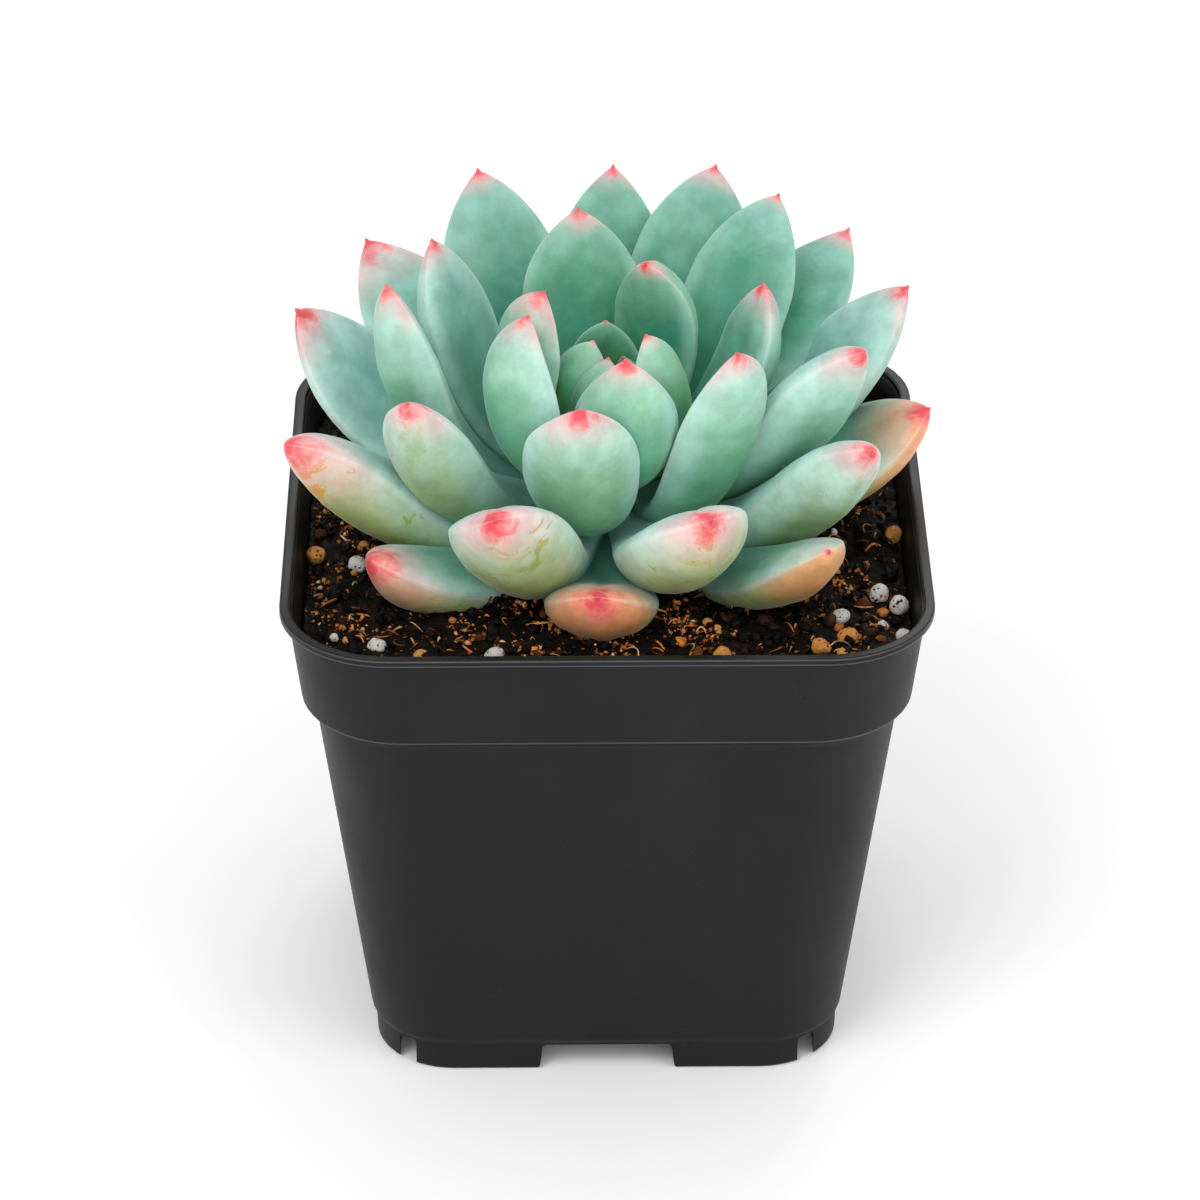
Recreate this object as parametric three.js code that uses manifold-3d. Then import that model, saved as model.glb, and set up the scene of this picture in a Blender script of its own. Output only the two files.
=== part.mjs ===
// Potted succulent: a rosette of thick, pointed leaves on a short stem, in a square plastic nursery pot.
// Millimetres, +Z up. The origin is the middle of the pot's footprint, on the surface that it stands on.
import * as THREE from "three";
import { mergeVertices } from "three/addons/utils/BufferGeometryUtils.js";
import Module from "manifold-3d";

const wasm = await Module();
wasm.setup();

// ---- Driving dimensions ----

const CLEARANCE = 0.3; // gap between pieces that touch

// Pot
const POT_WIDTH = 100; // across the lip
const POT_HEIGHT = 84.2;
const WALL = 1.2;
const LIP_CORNER_RADIUS = 17;
const LIP_WIDTH = 1.6; // from the outer edge to the inner edge
const LIP_HEIGHT = 1.3;
const LIP_OVERHANG = 1.2; // how far the lip stands out from the band
const BAND_HEIGHT = 15.4;
const BAND_TAPER = 1.8; // how far each side comes in, from the top of the band to its bottom
const SHOULDER_STEP = 1.9; // how far the body steps in under the band
const SHOULDER_HEIGHT = 1.4;
const BODY_TAPER = 7.5; // how far each side comes in, from the shoulder to the crease above the feet
const CREASE_INSET = 0.6; // how far the foot ring stands in from the body
const CREASE_HEIGHT = 0.8;
const FLOOR = 1.6;

// Foot ring under the pot, and the holes in its floor
const FOOT_HEIGHT = 5.2;
const FOOT_THICKNESS = 3.6;
const FOOT_DRAFT = 0.2; // how far the ring narrows towards the ground
const NOTCH_WIDTH = 20.5; // the gap in the middle of each side
const NOTCH_HEIGHT = 4.8;
const NOTCH_DRAFT = 1.4; // how much wider the gap is at the ground, on each side
const SLOT_WIDTH = 2.6; // the narrow gap beside each corner, at the front and back only
const SLOT_DEPTH = 12; // through the ring where it turns the corner
const SLOT_FROM_CORNER = 5.3; // from the middle of the slot to the ring's outer face round the corner
const DRAIN_RADIUS = 4;
const DRAIN_SPACING = 21; // from the pot's middle to each outer drain hole, along X and along Y

// Potting mix and stem
const SOIL_DROP = 6.2; // from the top of the lip down to the soil
const SOIL_WAVE = 0.5; // how far the soil's surface rises and falls
const SOIL_WAVE_LENGTH = 26;
const STEM_RADIUS = 5.7; // at the lowest leaf
const STEM_TIP_RADIUS = 1.2;
const STEM_BURIED = 18;
const STEM_BURIED_RADIUS = 3; // at the buried end
const LOWEST_LEAF = 2.5; // height of the lowest leaf's foot above the soil
const CROWN_HEIGHT = 16; // from the lowest leaf's foot to the youngest's
const CROWN_CROWDING = 1.6; // above 1, the feet are closer together towards the lowest leaf
const ROSETTE_CENTRE = new THREE.Vector2(1, -2); // the plant stands a little off the pot's middle

// Leaf blade: shares of the leaf's own length, width and thickness
const WIDEST_AT = 0.6;
const SHOULDER_AT = 0.55; // where the blade is thickest
const BLADE_END = 0.99; // past this only the sharp point is left
const FOOT_WIDTH_SHARE = 0.34;
const FOOT_THICKNESS_SHARE = 0.55;
const FACE_SHARE = 0.36; // the part of the thickness that is above the blade's midline
const YOUNG_CUP = 0.3; // how much the face is hollowed across, as a share of its half width
const OLD_CUP = 0;
const POINT_RADIUS = 0.35; // of the sharp point, where it leaves the blade

// Leaves from the youngest to the oldest. Each row: direction round the stem in degrees, reach of the
// tip from the stem's axis, height of the tip above the soil, width, thickness, slope in degrees where
// the leaf leaves the stem, slope at its tip, sway of the foot round the stem in degrees, and roll.
const LEAVES = [
  [200, 1.5, 29.0, 4, 2, 70, 95, 0, 0],
  [31, 2.0, 31.5, 6, 3, 60, 105, 0, 0],
  [-60, 3.0, 31.0, 6, 2.5, 60, 112, 0, 0],
  [-133, 4.0, 36.5, 11.5, 5.5, 2, 125, -15, 5],
  [99, 5.5, 35.5, 11.5, 4, 20, 96, 1, -12],
  [-94, 7.5, 36.0, 9.5, 5, -8, 122, -33, -11],
  [-48, 7.5, 39.0, 13, 5, -5, 114, 23, 10],
  [-83, 16.5, 40.5, 16, 6.5, 14, 99, 0, -15],
  [-166, 10.5, 45.0, 15, 6.5, 19, 114, -12, 32],
  [58, 10.0, 44.0, 14.5, 7.5, 28, 120, -4, 2],
  [-136, 17.5, 46.0, 17.5, 7, 20, 111, -4, -14],
  [-44, 26.0, 42.5, 17, 7, -62, 77, 21, -15],
  [103, 22.5, 47.0, 19.5, 8, 31, 80, 1, -3],
  [11, 24.0, 42.5, 13.5, 7, 23, 85, 4, 18],
  [-100, 29.0, 38.5, 18, 7, -7, 54, -9, 14],
  [156, 30.5, 46.5, 17.5, 7.5, 1, 74, -2, -5],
  [-169, 35.0, 48.5, 13.5, 8.5, -18, 75, -24, 35],
  [-143, 39.0, 37.0, 15.5, 10, -12, 57, -32, 38],
  [-14, 40.0, 38.0, 19.5, 11.5, 3, 36, 29, -30],
  [54, 46.5, 41.5, 17.5, 7.5, 6, 28, -7, 25],
  [69, 48.5, 43.0, 20, 7.5, 13, 35, -3, 20],
  [115, 50.0, 42.5, 20.5, 7.5, -1, 44, 5, -20],
  [89, 46.5, 42.5, 19, 7, 25, 59, 3, 1],
  [-70, 42.0, 25.5, 19.5, 11, -7, 33, 5, 3],
  [-114, 44.0, 26.0, 19.5, 11, -21, 29, -16, 28],
  [-33, 47.0, 29.5, 15, 11, -22, 32, 33, -38],
  [21, 50.5, 35.0, 18, 9, -6, 55, 18, 4],
  [46, 56.0, 34.0, 18.5, 8, 35, 38, 0, 9],
  [161, 52.5, 32.0, 22, 8, -6, 61, -15, -5],
  [135, 55.5, 33.0, 19.5, 8, 24, 38, 2, -26],
  [94, 50.0, 22.0, 20, 8, 5, 45, 0, 0],
  [-158, 54.0, 28.0, 19, 11.5, -24, 27, -27, 27],
  [6, 50.5, 20.0, 20, 10, 0, 45, 18, 5],
  [66, 46.0, 13.5, 19, 8.5, -8, 38, 0, 0],
  [121, 47.0, 13.0, 19, 8.5, -10, 38, 0, 0],
  [-144, 46.5, 12.0, 16.5, 9.5, -20, 33, -5, 0],
  [-48, 48.5, 18.0, 16.5, 8.5, -24, 36, 20, -2],
  [-94, 37.5, 11.0, 17.5, 9, -24, 39, 0, 0],
];

// Loose grains on the soil. Each row: the corner of the pot that it lies by (signs of X and Y), its
// distance in from the two walls that meet there, and its diameter.
const GRAIN_FLATNESS = 0.85; // height over width
const GRAIN_DENT = 0.06; // how deep the lumps go, as a share of the radius
const GRAIN_LUMPS = 2.4; // how close the lumps are, in radians a millimetre
const PERLITE_GRAINS = [
  [-1, -1, 11.9, 10.9, 2.6],
  [-1, -1, 29.8, 7.5, 3.0],
  [-1, -1, 8.3, 34.5, 2.8],
  [1, -1, 5.0, 24.8, 3.4],
  [1, -1, 2.0, 21.7, 3.2],
  [1, -1, 11.1, 18.5, 2.9],
  [1, -1, 1.9, 13.1, 2.6],
  [1, 1, 3.0, 10.2, 2.8],
];
const PUMICE_GRAINS = [
  [-1, -1, 1.8, 38.0, 2.9],
  [-1, -1, 18.8, 7.3, 2.6],
  [1, -1, 14.5, 9.1, 3.2],
  [1, -1, 10.2, 12.6, 3.2],
  [1, -1, 11.1, 7.0, 2.5],
  [1, -1, 29.7, 7.2, 2.6],
  [1, -1, 1.7, 44.0, 2.8],
];

// ---- Facets ----

const CORNER_STEPS = 5;
const SOIL_RINGS = [1, 0.84, 0.66, 0.46, 0.24];
const BLADE_RINGS = [0, 0.17, 0.35, 0.53, 0.69, 0.82, 0.91, 0.97];
const BLADE_SIDES = 8;
const STEM_SIDES = 12;
const DRAIN_SIDES = 16;

// ---- Heights and half widths that follow ----

const LIP_HALF = POT_WIDTH / 2;
const BAND_TOP_HALF = LIP_HALF - LIP_OVERHANG;
const BAND_BOTTOM_HALF = BAND_TOP_HALF - BAND_TAPER;
const BODY_TOP_HALF = BAND_BOTTOM_HALF - SHOULDER_STEP;
const BODY_BOTTOM_HALF = BODY_TOP_HALF - BODY_TAPER;
const FOOT_TOP_HALF = BODY_BOTTOM_HALF - CREASE_INSET;
const LIP_UNDERSIDE = POT_HEIGHT - LIP_HEIGHT;
const BAND_BOTTOM = LIP_UNDERSIDE - BAND_HEIGHT;
const BODY_TOP = BAND_BOTTOM - SHOULDER_HEIGHT;
const BODY_BOTTOM = FOOT_HEIGHT + CREASE_HEIGHT;
const FLOOR_TOP = FOOT_HEIGHT + FLOOR;
const SOIL_TOP = POT_HEIGHT - SOIL_DROP;
const CROWN_FOOT = SOIL_TOP + LOWEST_LEAF;

// ---- Materials ----

const blackPlastic = new THREE.MeshStandardMaterial({ color: 0x28282a, roughness: 0.55 });
const pottingMix = new THREE.MeshStandardMaterial({ color: 0x1d130d, roughness: 0.95 });
const stemSkin = new THREE.MeshStandardMaterial({ color: 0x8a9a6c, roughness: 0.8 });
const leafSkin = new THREE.MeshStandardMaterial({ color: 0x93cdb6, roughness: 0.6 });
const perlite = new THREE.MeshStandardMaterial({ color: 0xc9c7c2, roughness: 0.9 });
const pumice = new THREE.MeshStandardMaterial({ color: 0xb9814a, roughness: 0.9 });

// ---- Helpers ----

// A closed surface through rings of points that run anticlockwise about the way they are stacked.
// The first and the last ring are single points.
function loft(rings) {
  const starts = [];
  const points = [];
  for (const ring of rings) {
    starts.push(points.length);
    points.push(...ring);
  }
  const faces = [];
  for (let i = 0; i + 1 < rings.length; i++) {
    const [lower, upper] = [rings[i], rings[i + 1]];
    const sides = Math.max(lower.length, upper.length);
    for (let j = 0; j < sides; j++) {
      const at = (ring, start, k) => start + (k % ring.length);
      const a = at(lower, starts[i], j);
      const b = at(lower, starts[i], j + 1);
      const c = at(upper, starts[i + 1], j);
      const d = at(upper, starts[i + 1], j + 1);
      if (lower.length > 1) faces.push(a, b, d);
      if (upper.length > 1) faces.push(a, d, c);
    }
  }
  const geometry = new THREE.BufferGeometry().setFromPoints(points);
  geometry.setIndex(faces);
  return geometry;
}

function solidOf(geometry) {
  const bare = geometry.clone();
  bare.deleteAttribute("normal");
  bare.deleteAttribute("uv");
  const merged = mergeVertices(bare, 1e-4);
  return new wasm.Manifold(
    new wasm.Mesh({
      numProp: 3,
      vertProperties: new Float32Array(merged.attributes.position.array),
      triVerts: new Uint32Array(merged.index.array),
    }),
  );
}

function geometryOf(solid) {
  const mesh = solid.getMesh();
  const geometry = new THREE.BufferGeometry();
  geometry.setAttribute("position", new THREE.BufferAttribute(mesh.vertProperties, 3));
  geometry.setIndex(new THREE.BufferAttribute(mesh.triVerts, 1));
  geometry.computeVertexNormals();
  return geometry;
}

// The solid without the room that its neighbours take. What a neighbour cuts right off is left out.
function clearOf(solid, neighbours) {
  const box = solid.boundingBox();
  const near = neighbours.filter(({ box: other }) =>
    [0, 1, 2].every((k) => other.min[k] < box.max[k] && other.max[k] > box.min[k]),
  );
  const cut = near.reduce((rest, neighbour) => rest.subtract(neighbour.solid), solid);
  const bodies = cut.decompose();
  return bodies.reduce((best, body) => (body.volume() > best.volume() ? body : best));
}

function neighbour(geometry) {
  const solid = solidOf(geometry);
  return { solid, box: solid.boundingBox() };
}

function addMesh(group, name, geometry, material) {
  const mesh = new THREE.Mesh(geometry, material);
  mesh.name = name;
  group.add(mesh);
}

const mix = THREE.MathUtils.lerp;
const rad = THREE.MathUtils.degToRad;
const twoDigits = (number) => String(number).padStart(2, "0");

// ---- Pot ----

// A square with round corners at one height, anticlockwise seen from above.
function roundedSquare(half, cornerRadius, z) {
  const points = [];
  const straight = half - cornerRadius;
  for (let corner = 0; corner < 4; corner++) {
    const middle = new THREE.Vector2(straight, straight).rotateAround(
      new THREE.Vector2(),
      (corner * Math.PI) / 2,
    );
    for (let step = 0; step <= CORNER_STEPS; step++) {
      const angle = ((corner + step / CORNER_STEPS) * Math.PI) / 2;
      points.push(
        new THREE.Vector3(
          middle.x + cornerRadius * Math.cos(angle),
          middle.y + cornerRadius * Math.sin(angle),
          z,
        ),
      );
    }
  }
  return points;
}

// The corners keep the same straight length between them, so they tighten as the pot narrows.
const STRAIGHT_SHARE = (LIP_HALF - LIP_CORNER_RADIUS) / LIP_HALF;

function potRing(outerHalf, inset, z) {
  const cornerRadius = outerHalf * (1 - STRAIGHT_SHARE);
  return roundedSquare(outerHalf - inset, cornerRadius - inset, z);
}

// The wall's inner face from the floor up: heights, each with the outer half width that it follows
const INNER_FACE = [
  { z: FLOOR_TOP, outerHalf: BODY_BOTTOM_HALF },
  { z: BODY_TOP + WALL, outerHalf: BODY_TOP_HALF },
  { z: BAND_BOTTOM + WALL, outerHalf: BAND_BOTTOM_HALF },
  { z: LIP_UNDERSIDE - WALL, outerHalf: BAND_TOP_HALF },
];

// The outer half width that the inner face follows at any height
function outerHalfAt(z) {
  const above = Math.max(
    1,
    INNER_FACE.findIndex((level) => level.z >= z),
  );
  const [low, high] = [INNER_FACE[above - 1], INNER_FACE[above]];
  return mix(low.outerHalf, high.outerHalf, (z - low.z) / (high.z - low.z));
}

function potShell() {
  const bead = LIP_HEIGHT / 2;
  const lipTop = (inset, drop) => potRing(LIP_HALF, inset, POT_HEIGHT - drop);
  return loft([
    [new THREE.Vector3(0, 0, FOOT_HEIGHT)],
    potRing(FOOT_TOP_HALF, FOOT_THICKNESS, FOOT_HEIGHT),
    potRing(FOOT_TOP_HALF, FOOT_THICKNESS, 0),
    potRing(FOOT_TOP_HALF, FOOT_DRAFT, 0),
    potRing(FOOT_TOP_HALF, 0, FOOT_HEIGHT),
    potRing(BODY_BOTTOM_HALF, 0, BODY_BOTTOM),
    potRing(BODY_TOP_HALF, 0, BODY_TOP),
    potRing(BAND_BOTTOM_HALF, 0, BAND_BOTTOM),
    potRing(BAND_TOP_HALF, 0, LIP_UNDERSIDE),
    potRing(LIP_HALF, bead * 0.3, LIP_UNDERSIDE),
    potRing(LIP_HALF, 0, POT_HEIGHT - bead),
    lipTop(bead * 0.3, bead * 0.3),
    lipTop(bead, 0),
    lipTop(LIP_WIDTH - bead * 0.7, 0),
    lipTop(LIP_WIDTH, bead * 0.7),
    ...INNER_FACE.map(({ z, outerHalf }) => potRing(outerHalf, WALL, z)).reverse(),
    [new THREE.Vector3(0, 0, FLOOR_TOP)],
  ]);
}

// The room that the pot's band and lip take, with the clearance round them
function lipRoom() {
  const underside = LIP_UNDERSIDE - CLEARANCE;
  const top = POT_HEIGHT + CLEARANCE;
  const outside = loft([
    [new THREE.Vector3(0, 0, BAND_BOTTOM)],
    potRing(BAND_BOTTOM_HALF, -CLEARANCE, BAND_BOTTOM),
    potRing(BAND_TOP_HALF, -CLEARANCE, underside),
    potRing(LIP_HALF, -CLEARANCE, underside),
    potRing(LIP_HALF, -CLEARANCE, top),
    [new THREE.Vector3(0, 0, top)],
  ]);
  const inside = loft([
    [new THREE.Vector3(0, 0, BAND_BOTTOM - WALL)],
    potRing(BAND_BOTTOM_HALF, WALL + CLEARANCE, BAND_BOTTOM - WALL),
    potRing(BAND_TOP_HALF, WALL + CLEARANCE, LIP_UNDERSIDE - WALL),
    potRing(LIP_HALF, LIP_WIDTH + CLEARANCE, POT_HEIGHT),
    potRing(LIP_HALF, LIP_WIDTH + CLEARANCE, top + WALL),
    [new THREE.Vector3(0, 0, top + WALL)],
  ]);
  const solid = solidOf(outside).subtract(solidOf(inside));
  return { solid, box: solid.boundingBox() };
}

// A prism through one side of the foot ring: an upright trapezoid, wider at the ground
function footGap(width, draft, through) {
  const below = 1;
  const outline = new THREE.Shape([
    new THREE.Vector2(-width / 2 - draft, -below),
    new THREE.Vector2(width / 2 + draft, -below),
    new THREE.Vector2(width / 2 + draft, 0),
    new THREE.Vector2(width / 2, NOTCH_HEIGHT),
    new THREE.Vector2(-width / 2, NOTCH_HEIGHT),
    new THREE.Vector2(-width / 2 - draft, 0),
  ]);
  return new THREE.ExtrudeGeometry(outline, { depth: through, bevelEnabled: false })
    .rotateX(Math.PI / 2)
    .translate(0, through - FOOT_TOP_HALF - FOOT_THICKNESS / 2, 0);
}

function pot() {
  let solid = solidOf(potShell());
  const slotFromMiddle = FOOT_TOP_HALF - SLOT_FROM_CORNER;
  for (let side = 0; side < 4; side++) {
    const gaps = [footGap(NOTCH_WIDTH, NOTCH_DRAFT, 2 * FOOT_THICKNESS)];
    if (side % 2 === 0) {
      gaps.push(footGap(SLOT_WIDTH, 0, SLOT_DEPTH).translate(slotFromMiddle, 0, 0));
      gaps.push(footGap(SLOT_WIDTH, 0, SLOT_DEPTH).translate(-slotFromMiddle, 0, 0));
    }
    for (const gap of gaps) solid = solid.subtract(solidOf(gap.rotateZ((side * Math.PI) / 2)));
  }
  const drains = [[0, 0]];
  for (const x of [-DRAIN_SPACING, DRAIN_SPACING]) {
    for (const y of [-DRAIN_SPACING, DRAIN_SPACING]) drains.push([x, y]);
  }
  for (const [x, y] of drains) {
    const drill = new THREE.CylinderGeometry(DRAIN_RADIUS, DRAIN_RADIUS, FLOOR * 3, DRAIN_SIDES)
      .rotateX(Math.PI / 2)
      .translate(x, y, FOOT_HEIGHT + FLOOR / 2);
    solid = solid.subtract(solidOf(drill));
  }
  return geometryOf(solid);
}

// ---- Stem and potting mix ----

function stemRadius(z) {
  return mix(STEM_RADIUS, STEM_TIP_RADIUS, THREE.MathUtils.clamp((z - CROWN_FOOT) / CROWN_HEIGHT, 0, 1));
}

function stem(grow = 0) {
  const bottom = SOIL_TOP - STEM_BURIED;
  const top = CROWN_FOOT + CROWN_HEIGHT;
  const profile = [
    new THREE.Vector2(0, bottom - grow),
    new THREE.Vector2(STEM_BURIED_RADIUS + grow, bottom - grow),
    new THREE.Vector2(STEM_RADIUS + grow, SOIL_TOP),
    new THREE.Vector2(STEM_RADIUS + grow, CROWN_FOOT),
    new THREE.Vector2(stemRadius(top) + grow, top),
    new THREE.Vector2(0, top + STEM_TIP_RADIUS + grow),
  ];
  const geometry = new THREE.LatheGeometry(profile, STEM_SIDES).rotateX(Math.PI / 2);
  return geometry.translate(ROSETTE_CENTRE.x, ROSETTE_CENTRE.y, 0);
}

function soilHeight(x, y) {
  const turn = (2 * Math.PI) / SOIL_WAVE_LENGTH;
  return SOIL_TOP + SOIL_WAVE * Math.sin(x * turn + 1) * Math.cos(y * turn * 0.8);
}

// A block of mix that fills the pot. The stem stands in a hole in it, and low leaves dent its surface.
function soil(leafRoom) {
  const ring = (z) => potRing(outerHalfAt(z), WALL + CLEARANCE, z);
  const topRing = (share) =>
    ring(SOIL_TOP).map(({ x, y }) => {
      const [sx, sy] = [x * share, y * share];
      return new THREE.Vector3(sx, sy, soilHeight(sx, sy));
    });
  const bottom = FLOOR_TOP + CLEARANCE;
  const lowestTop = SOIL_TOP - SOIL_WAVE;
  const levels = INNER_FACE.map(({ z }) => z).filter((z) => z > bottom && z < lowestTop);
  const rings = [
    [new THREE.Vector3(0, 0, bottom)],
    ...[bottom, ...levels].map(ring),
    ...SOIL_RINGS.map(topRing),
    [new THREE.Vector3(0, 0, soilHeight(0, 0))],
  ];
  const hole = neighbour(stem(CLEARANCE));
  return geometryOf(clearOf(solidOf(loft(rings)), [hole, ...leafRoom]));
}

// ---- Leaves ----

// The blade's half width, as a share of its greatest
function widthShare(s) {
  if (s < WIDEST_AT) {
    return mix(FOOT_WIDTH_SHARE, 1, Math.sin(((Math.PI / 2) * s) / WIDEST_AT) ** 1.1);
  }
  const t = Math.min((s - WIDEST_AT) / (BLADE_END - WIDEST_AT), 1);
  return (1 - t ** 2.5) ** 0.86;
}

// The blade's thickness, as a share of its greatest
function thicknessShare(s) {
  if (s < SHOULDER_AT) {
    return mix(FOOT_THICKNESS_SHARE, 1, Math.sin(((Math.PI / 2) * s) / SHOULDER_AT));
  }
  const t = Math.min((s - SHOULDER_AT) / (BLADE_END - SHOULDER_AT), 1);
  return (1 - t ** 2.7) ** 0.74;
}

// One leaf: rings across a cubic curve that leaves the stem, bends up and ends in a sharp point.
// age runs from 0, the youngest leaf, to 1, the oldest. grow makes it fatter all round.
function leaf(row, age, grow = 0) {
  const [direction, reach, tipHeight, width, thickness, footSlope, tipSlope, sway, roll] = row;
  const footZ = CROWN_FOOT + CROWN_HEIGHT * (1 - age) ** CROWN_CROWDING;
  const foot = new THREE.Vector2(stemRadius(footZ), footZ);
  const tip = new THREE.Vector2(reach, SOIL_TOP + tipHeight);
  const chord = foot.distanceTo(tip);
  const along = (degrees, length) =>
    new THREE.Vector2(Math.cos(rad(degrees)), Math.sin(rad(degrees))).multiplyScalar(length);
  const side = new THREE.CubicBezierCurve(
    foot,
    foot.clone().add(along(footSlope, 0.42 * chord)),
    tip.clone().sub(along(tipSlope, 0.36 * chord)),
    tip,
  );
  const cup = mix(YOUNG_CUP, OLD_CUP, age);

  const spine = (s) => {
    const p = side.getPoint(s);
    const angle = rad(direction + sway * (1 - s));
    return new THREE.Vector3(
      ROSETTE_CENTRE.x + p.x * Math.cos(angle),
      ROSETTE_CENTRE.y + p.x * Math.sin(angle),
      p.y,
    );
  };

  const ring = (s) => {
    const step = 0.001;
    const forward = spine(s + step).sub(spine(s - step)).normalize();
    const angle = rad(direction + sway * (1 - s));
    const across = new THREE.Vector3(-Math.sin(angle), Math.cos(angle), 0);
    across.addScaledVector(forward, -across.dot(forward)).normalize();
    across.applyAxisAngle(forward, rad(roll * s));
    const up = new THREE.Vector3().crossVectors(forward, across);
    const halfWidth = Math.max((width / 2) * widthShare(s), POINT_RADIUS) + grow;
    const depth = Math.max(thickness * thicknessShare(s), 2 * POINT_RADIUS);
    const hollow = cup * halfWidth * Math.min(1, 4 * (1 - s));
    const points = [];
    for (let k = 0; k < BLADE_SIDES; k++) {
      const turn = (2 * Math.PI * k) / BLADE_SIDES;
      const [c, sn] = [Math.cos(turn), Math.sin(turn)];
      const face = (FACE_SHARE * depth + grow) * Math.abs(sn) ** 1.25;
      const back = ((1 - FACE_SHARE) * depth + grow) * Math.abs(sn);
      const lift = (sn > 0 ? face : -back) + hollow * (c * c - 0.35);
      points.push(spine(s).addScaledVector(across, c * halfWidth).addScaledVector(up, lift));
    }
    return points;
  };

  const end = spine(1).addScaledVector(spine(1).sub(spine(0.99)).normalize(), grow);
  const start = spine(0).addScaledVector(spine(0.01).sub(spine(0)).normalize(), -grow);
  return loft([[start], ...BLADE_RINGS.map(ring), [end]]);
}

// The leaves, youngest first, each cut where the stem, the pot and younger leaves press into it, and
// the room that each takes with the clearance round it
function rosette() {
  const fixedRooms = [neighbour(stem(CLEARANCE)), lipRoom(), ...grainRooms()];
  const rooms = [];
  const geometries = LEAVES.map((row, index) => {
    const age = index / (LEAVES.length - 1);
    const solid = clearOf(solidOf(leaf(row, age)), [...fixedRooms, ...rooms]);
    rooms.push(neighbour(leaf(row, age, CLEARANCE)));
    return geometryOf(solid);
  });
  return { geometries, rooms };
}

// ---- Loose grains ----

// A lumpy pebble that lies just above the soil by one corner of the pot
function grain([signX, signY, fromSideX, fromSideY, diameter]) {
  const inside = outerHalfAt(SOIL_TOP) - WALL;
  const x = signX * (inside - fromSideX);
  const y = signY * (inside - fromSideY);
  const radius = diameter / 2;
  const geometry = new THREE.IcosahedronGeometry(radius, 1).deleteAttribute("normal");
  const pebble = mergeVertices(geometry.deleteAttribute("uv"));
  const position = pebble.attributes.position;
  const point = new THREE.Vector3();
  for (let i = 0; i < position.count; i++) {
    point.fromBufferAttribute(position, i);
    const lump = Math.sin(GRAIN_LUMPS * point.x + x) * Math.sin(GRAIN_LUMPS * point.y + y);
    point.multiplyScalar(1 - GRAIN_DENT * (1 + lump));
    position.setXYZ(i, point.x, point.y, point.z * GRAIN_FLATNESS);
  }
  pebble.computeVertexNormals();
  const lift = SOIL_WAVE * 0.35 + CLEARANCE + radius * GRAIN_FLATNESS;
  return pebble.translate(x, y, soilHeight(x, y) + lift);
}

// The rooms of the larger grains, which the leaves above them stay out of
function grainRooms() {
  return [...PERLITE_GRAINS, ...PUMICE_GRAINS].map(([signX, signY, fromX, fromY, diameter]) =>
    neighbour(
      grain([signX, signY, fromX, fromY, diameter + 4 * CLEARANCE]).translate(0, 0, -2 * CLEARANCE),
    ),
  );
}

// ---- Assembly ----

const plant = new THREE.Group();
addMesh(plant, "pot", pot(), blackPlastic);
const { geometries: leafGeometries, rooms: leafRooms } = rosette();
addMesh(plant, "potting_mix", soil(leafRooms), pottingMix);
addMesh(plant, "stem", stem(), stemSkin);
leafGeometries.reverse().forEach((geometry, index) => {
  addMesh(plant, "leaf_" + twoDigits(index + 1), geometry, leafSkin);
});

PERLITE_GRAINS.forEach((row, index) => {
  addMesh(plant, "perlite_" + twoDigits(index + 1), grain(row), perlite);
});
PUMICE_GRAINS.forEach((row, index) => {
  addMesh(plant, "pumice_" + twoDigits(index + 1), grain(row), pumice);
});

export default plant;
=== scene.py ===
"""A rosette succulent in a square nursery pot: its looks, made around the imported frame.

Run as a script in Blender 4.5. Names that end in _MM hold millimetres, all others metres.
"""

import math

import bpy
import numpy as np
from bpy.props import FloatProperty, FloatVectorProperty, IntProperty, PointerProperty
from mathutils import Euler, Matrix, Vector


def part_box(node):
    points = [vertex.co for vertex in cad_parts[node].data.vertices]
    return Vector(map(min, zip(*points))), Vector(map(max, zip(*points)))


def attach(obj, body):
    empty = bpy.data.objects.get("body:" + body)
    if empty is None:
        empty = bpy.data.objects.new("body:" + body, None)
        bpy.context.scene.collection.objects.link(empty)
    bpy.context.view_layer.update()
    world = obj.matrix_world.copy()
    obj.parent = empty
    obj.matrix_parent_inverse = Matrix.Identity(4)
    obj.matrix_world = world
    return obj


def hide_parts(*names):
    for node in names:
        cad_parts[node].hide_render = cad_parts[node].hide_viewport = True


bl_info = {
    "name": "Potted rosette succulent",
    "version": (1, 0, 0),
    "blender": (4, 5, 0),
    "location": "View3D > Sidebar > Succulent",
    "description": "Builds a rosette succulent in a square nursery pot, with its potting mix",
    "category": "Add Mesh",
}

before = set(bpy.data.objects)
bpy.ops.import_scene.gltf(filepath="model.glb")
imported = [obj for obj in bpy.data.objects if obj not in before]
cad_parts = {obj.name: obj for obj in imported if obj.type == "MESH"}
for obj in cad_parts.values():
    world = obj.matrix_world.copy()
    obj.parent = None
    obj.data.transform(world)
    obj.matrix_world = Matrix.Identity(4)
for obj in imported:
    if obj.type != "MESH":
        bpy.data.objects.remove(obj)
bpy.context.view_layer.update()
BODY = "root"
MM = 0.001
POT_LOW, POT_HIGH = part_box("pot")
STEM_LOW, STEM_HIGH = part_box("stem")
POT_WIDTH = POT_HIGH.x - POT_LOW.x
POT_HEIGHT = POT_HIGH.z
ROSETTE_X = (STEM_LOW.x + STEM_HIGH.x) / 2
ROSETTE_Y = (STEM_LOW.y + STEM_HIGH.y) / 2


# ---------------------------------------------------------------- numpy helpers


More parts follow.
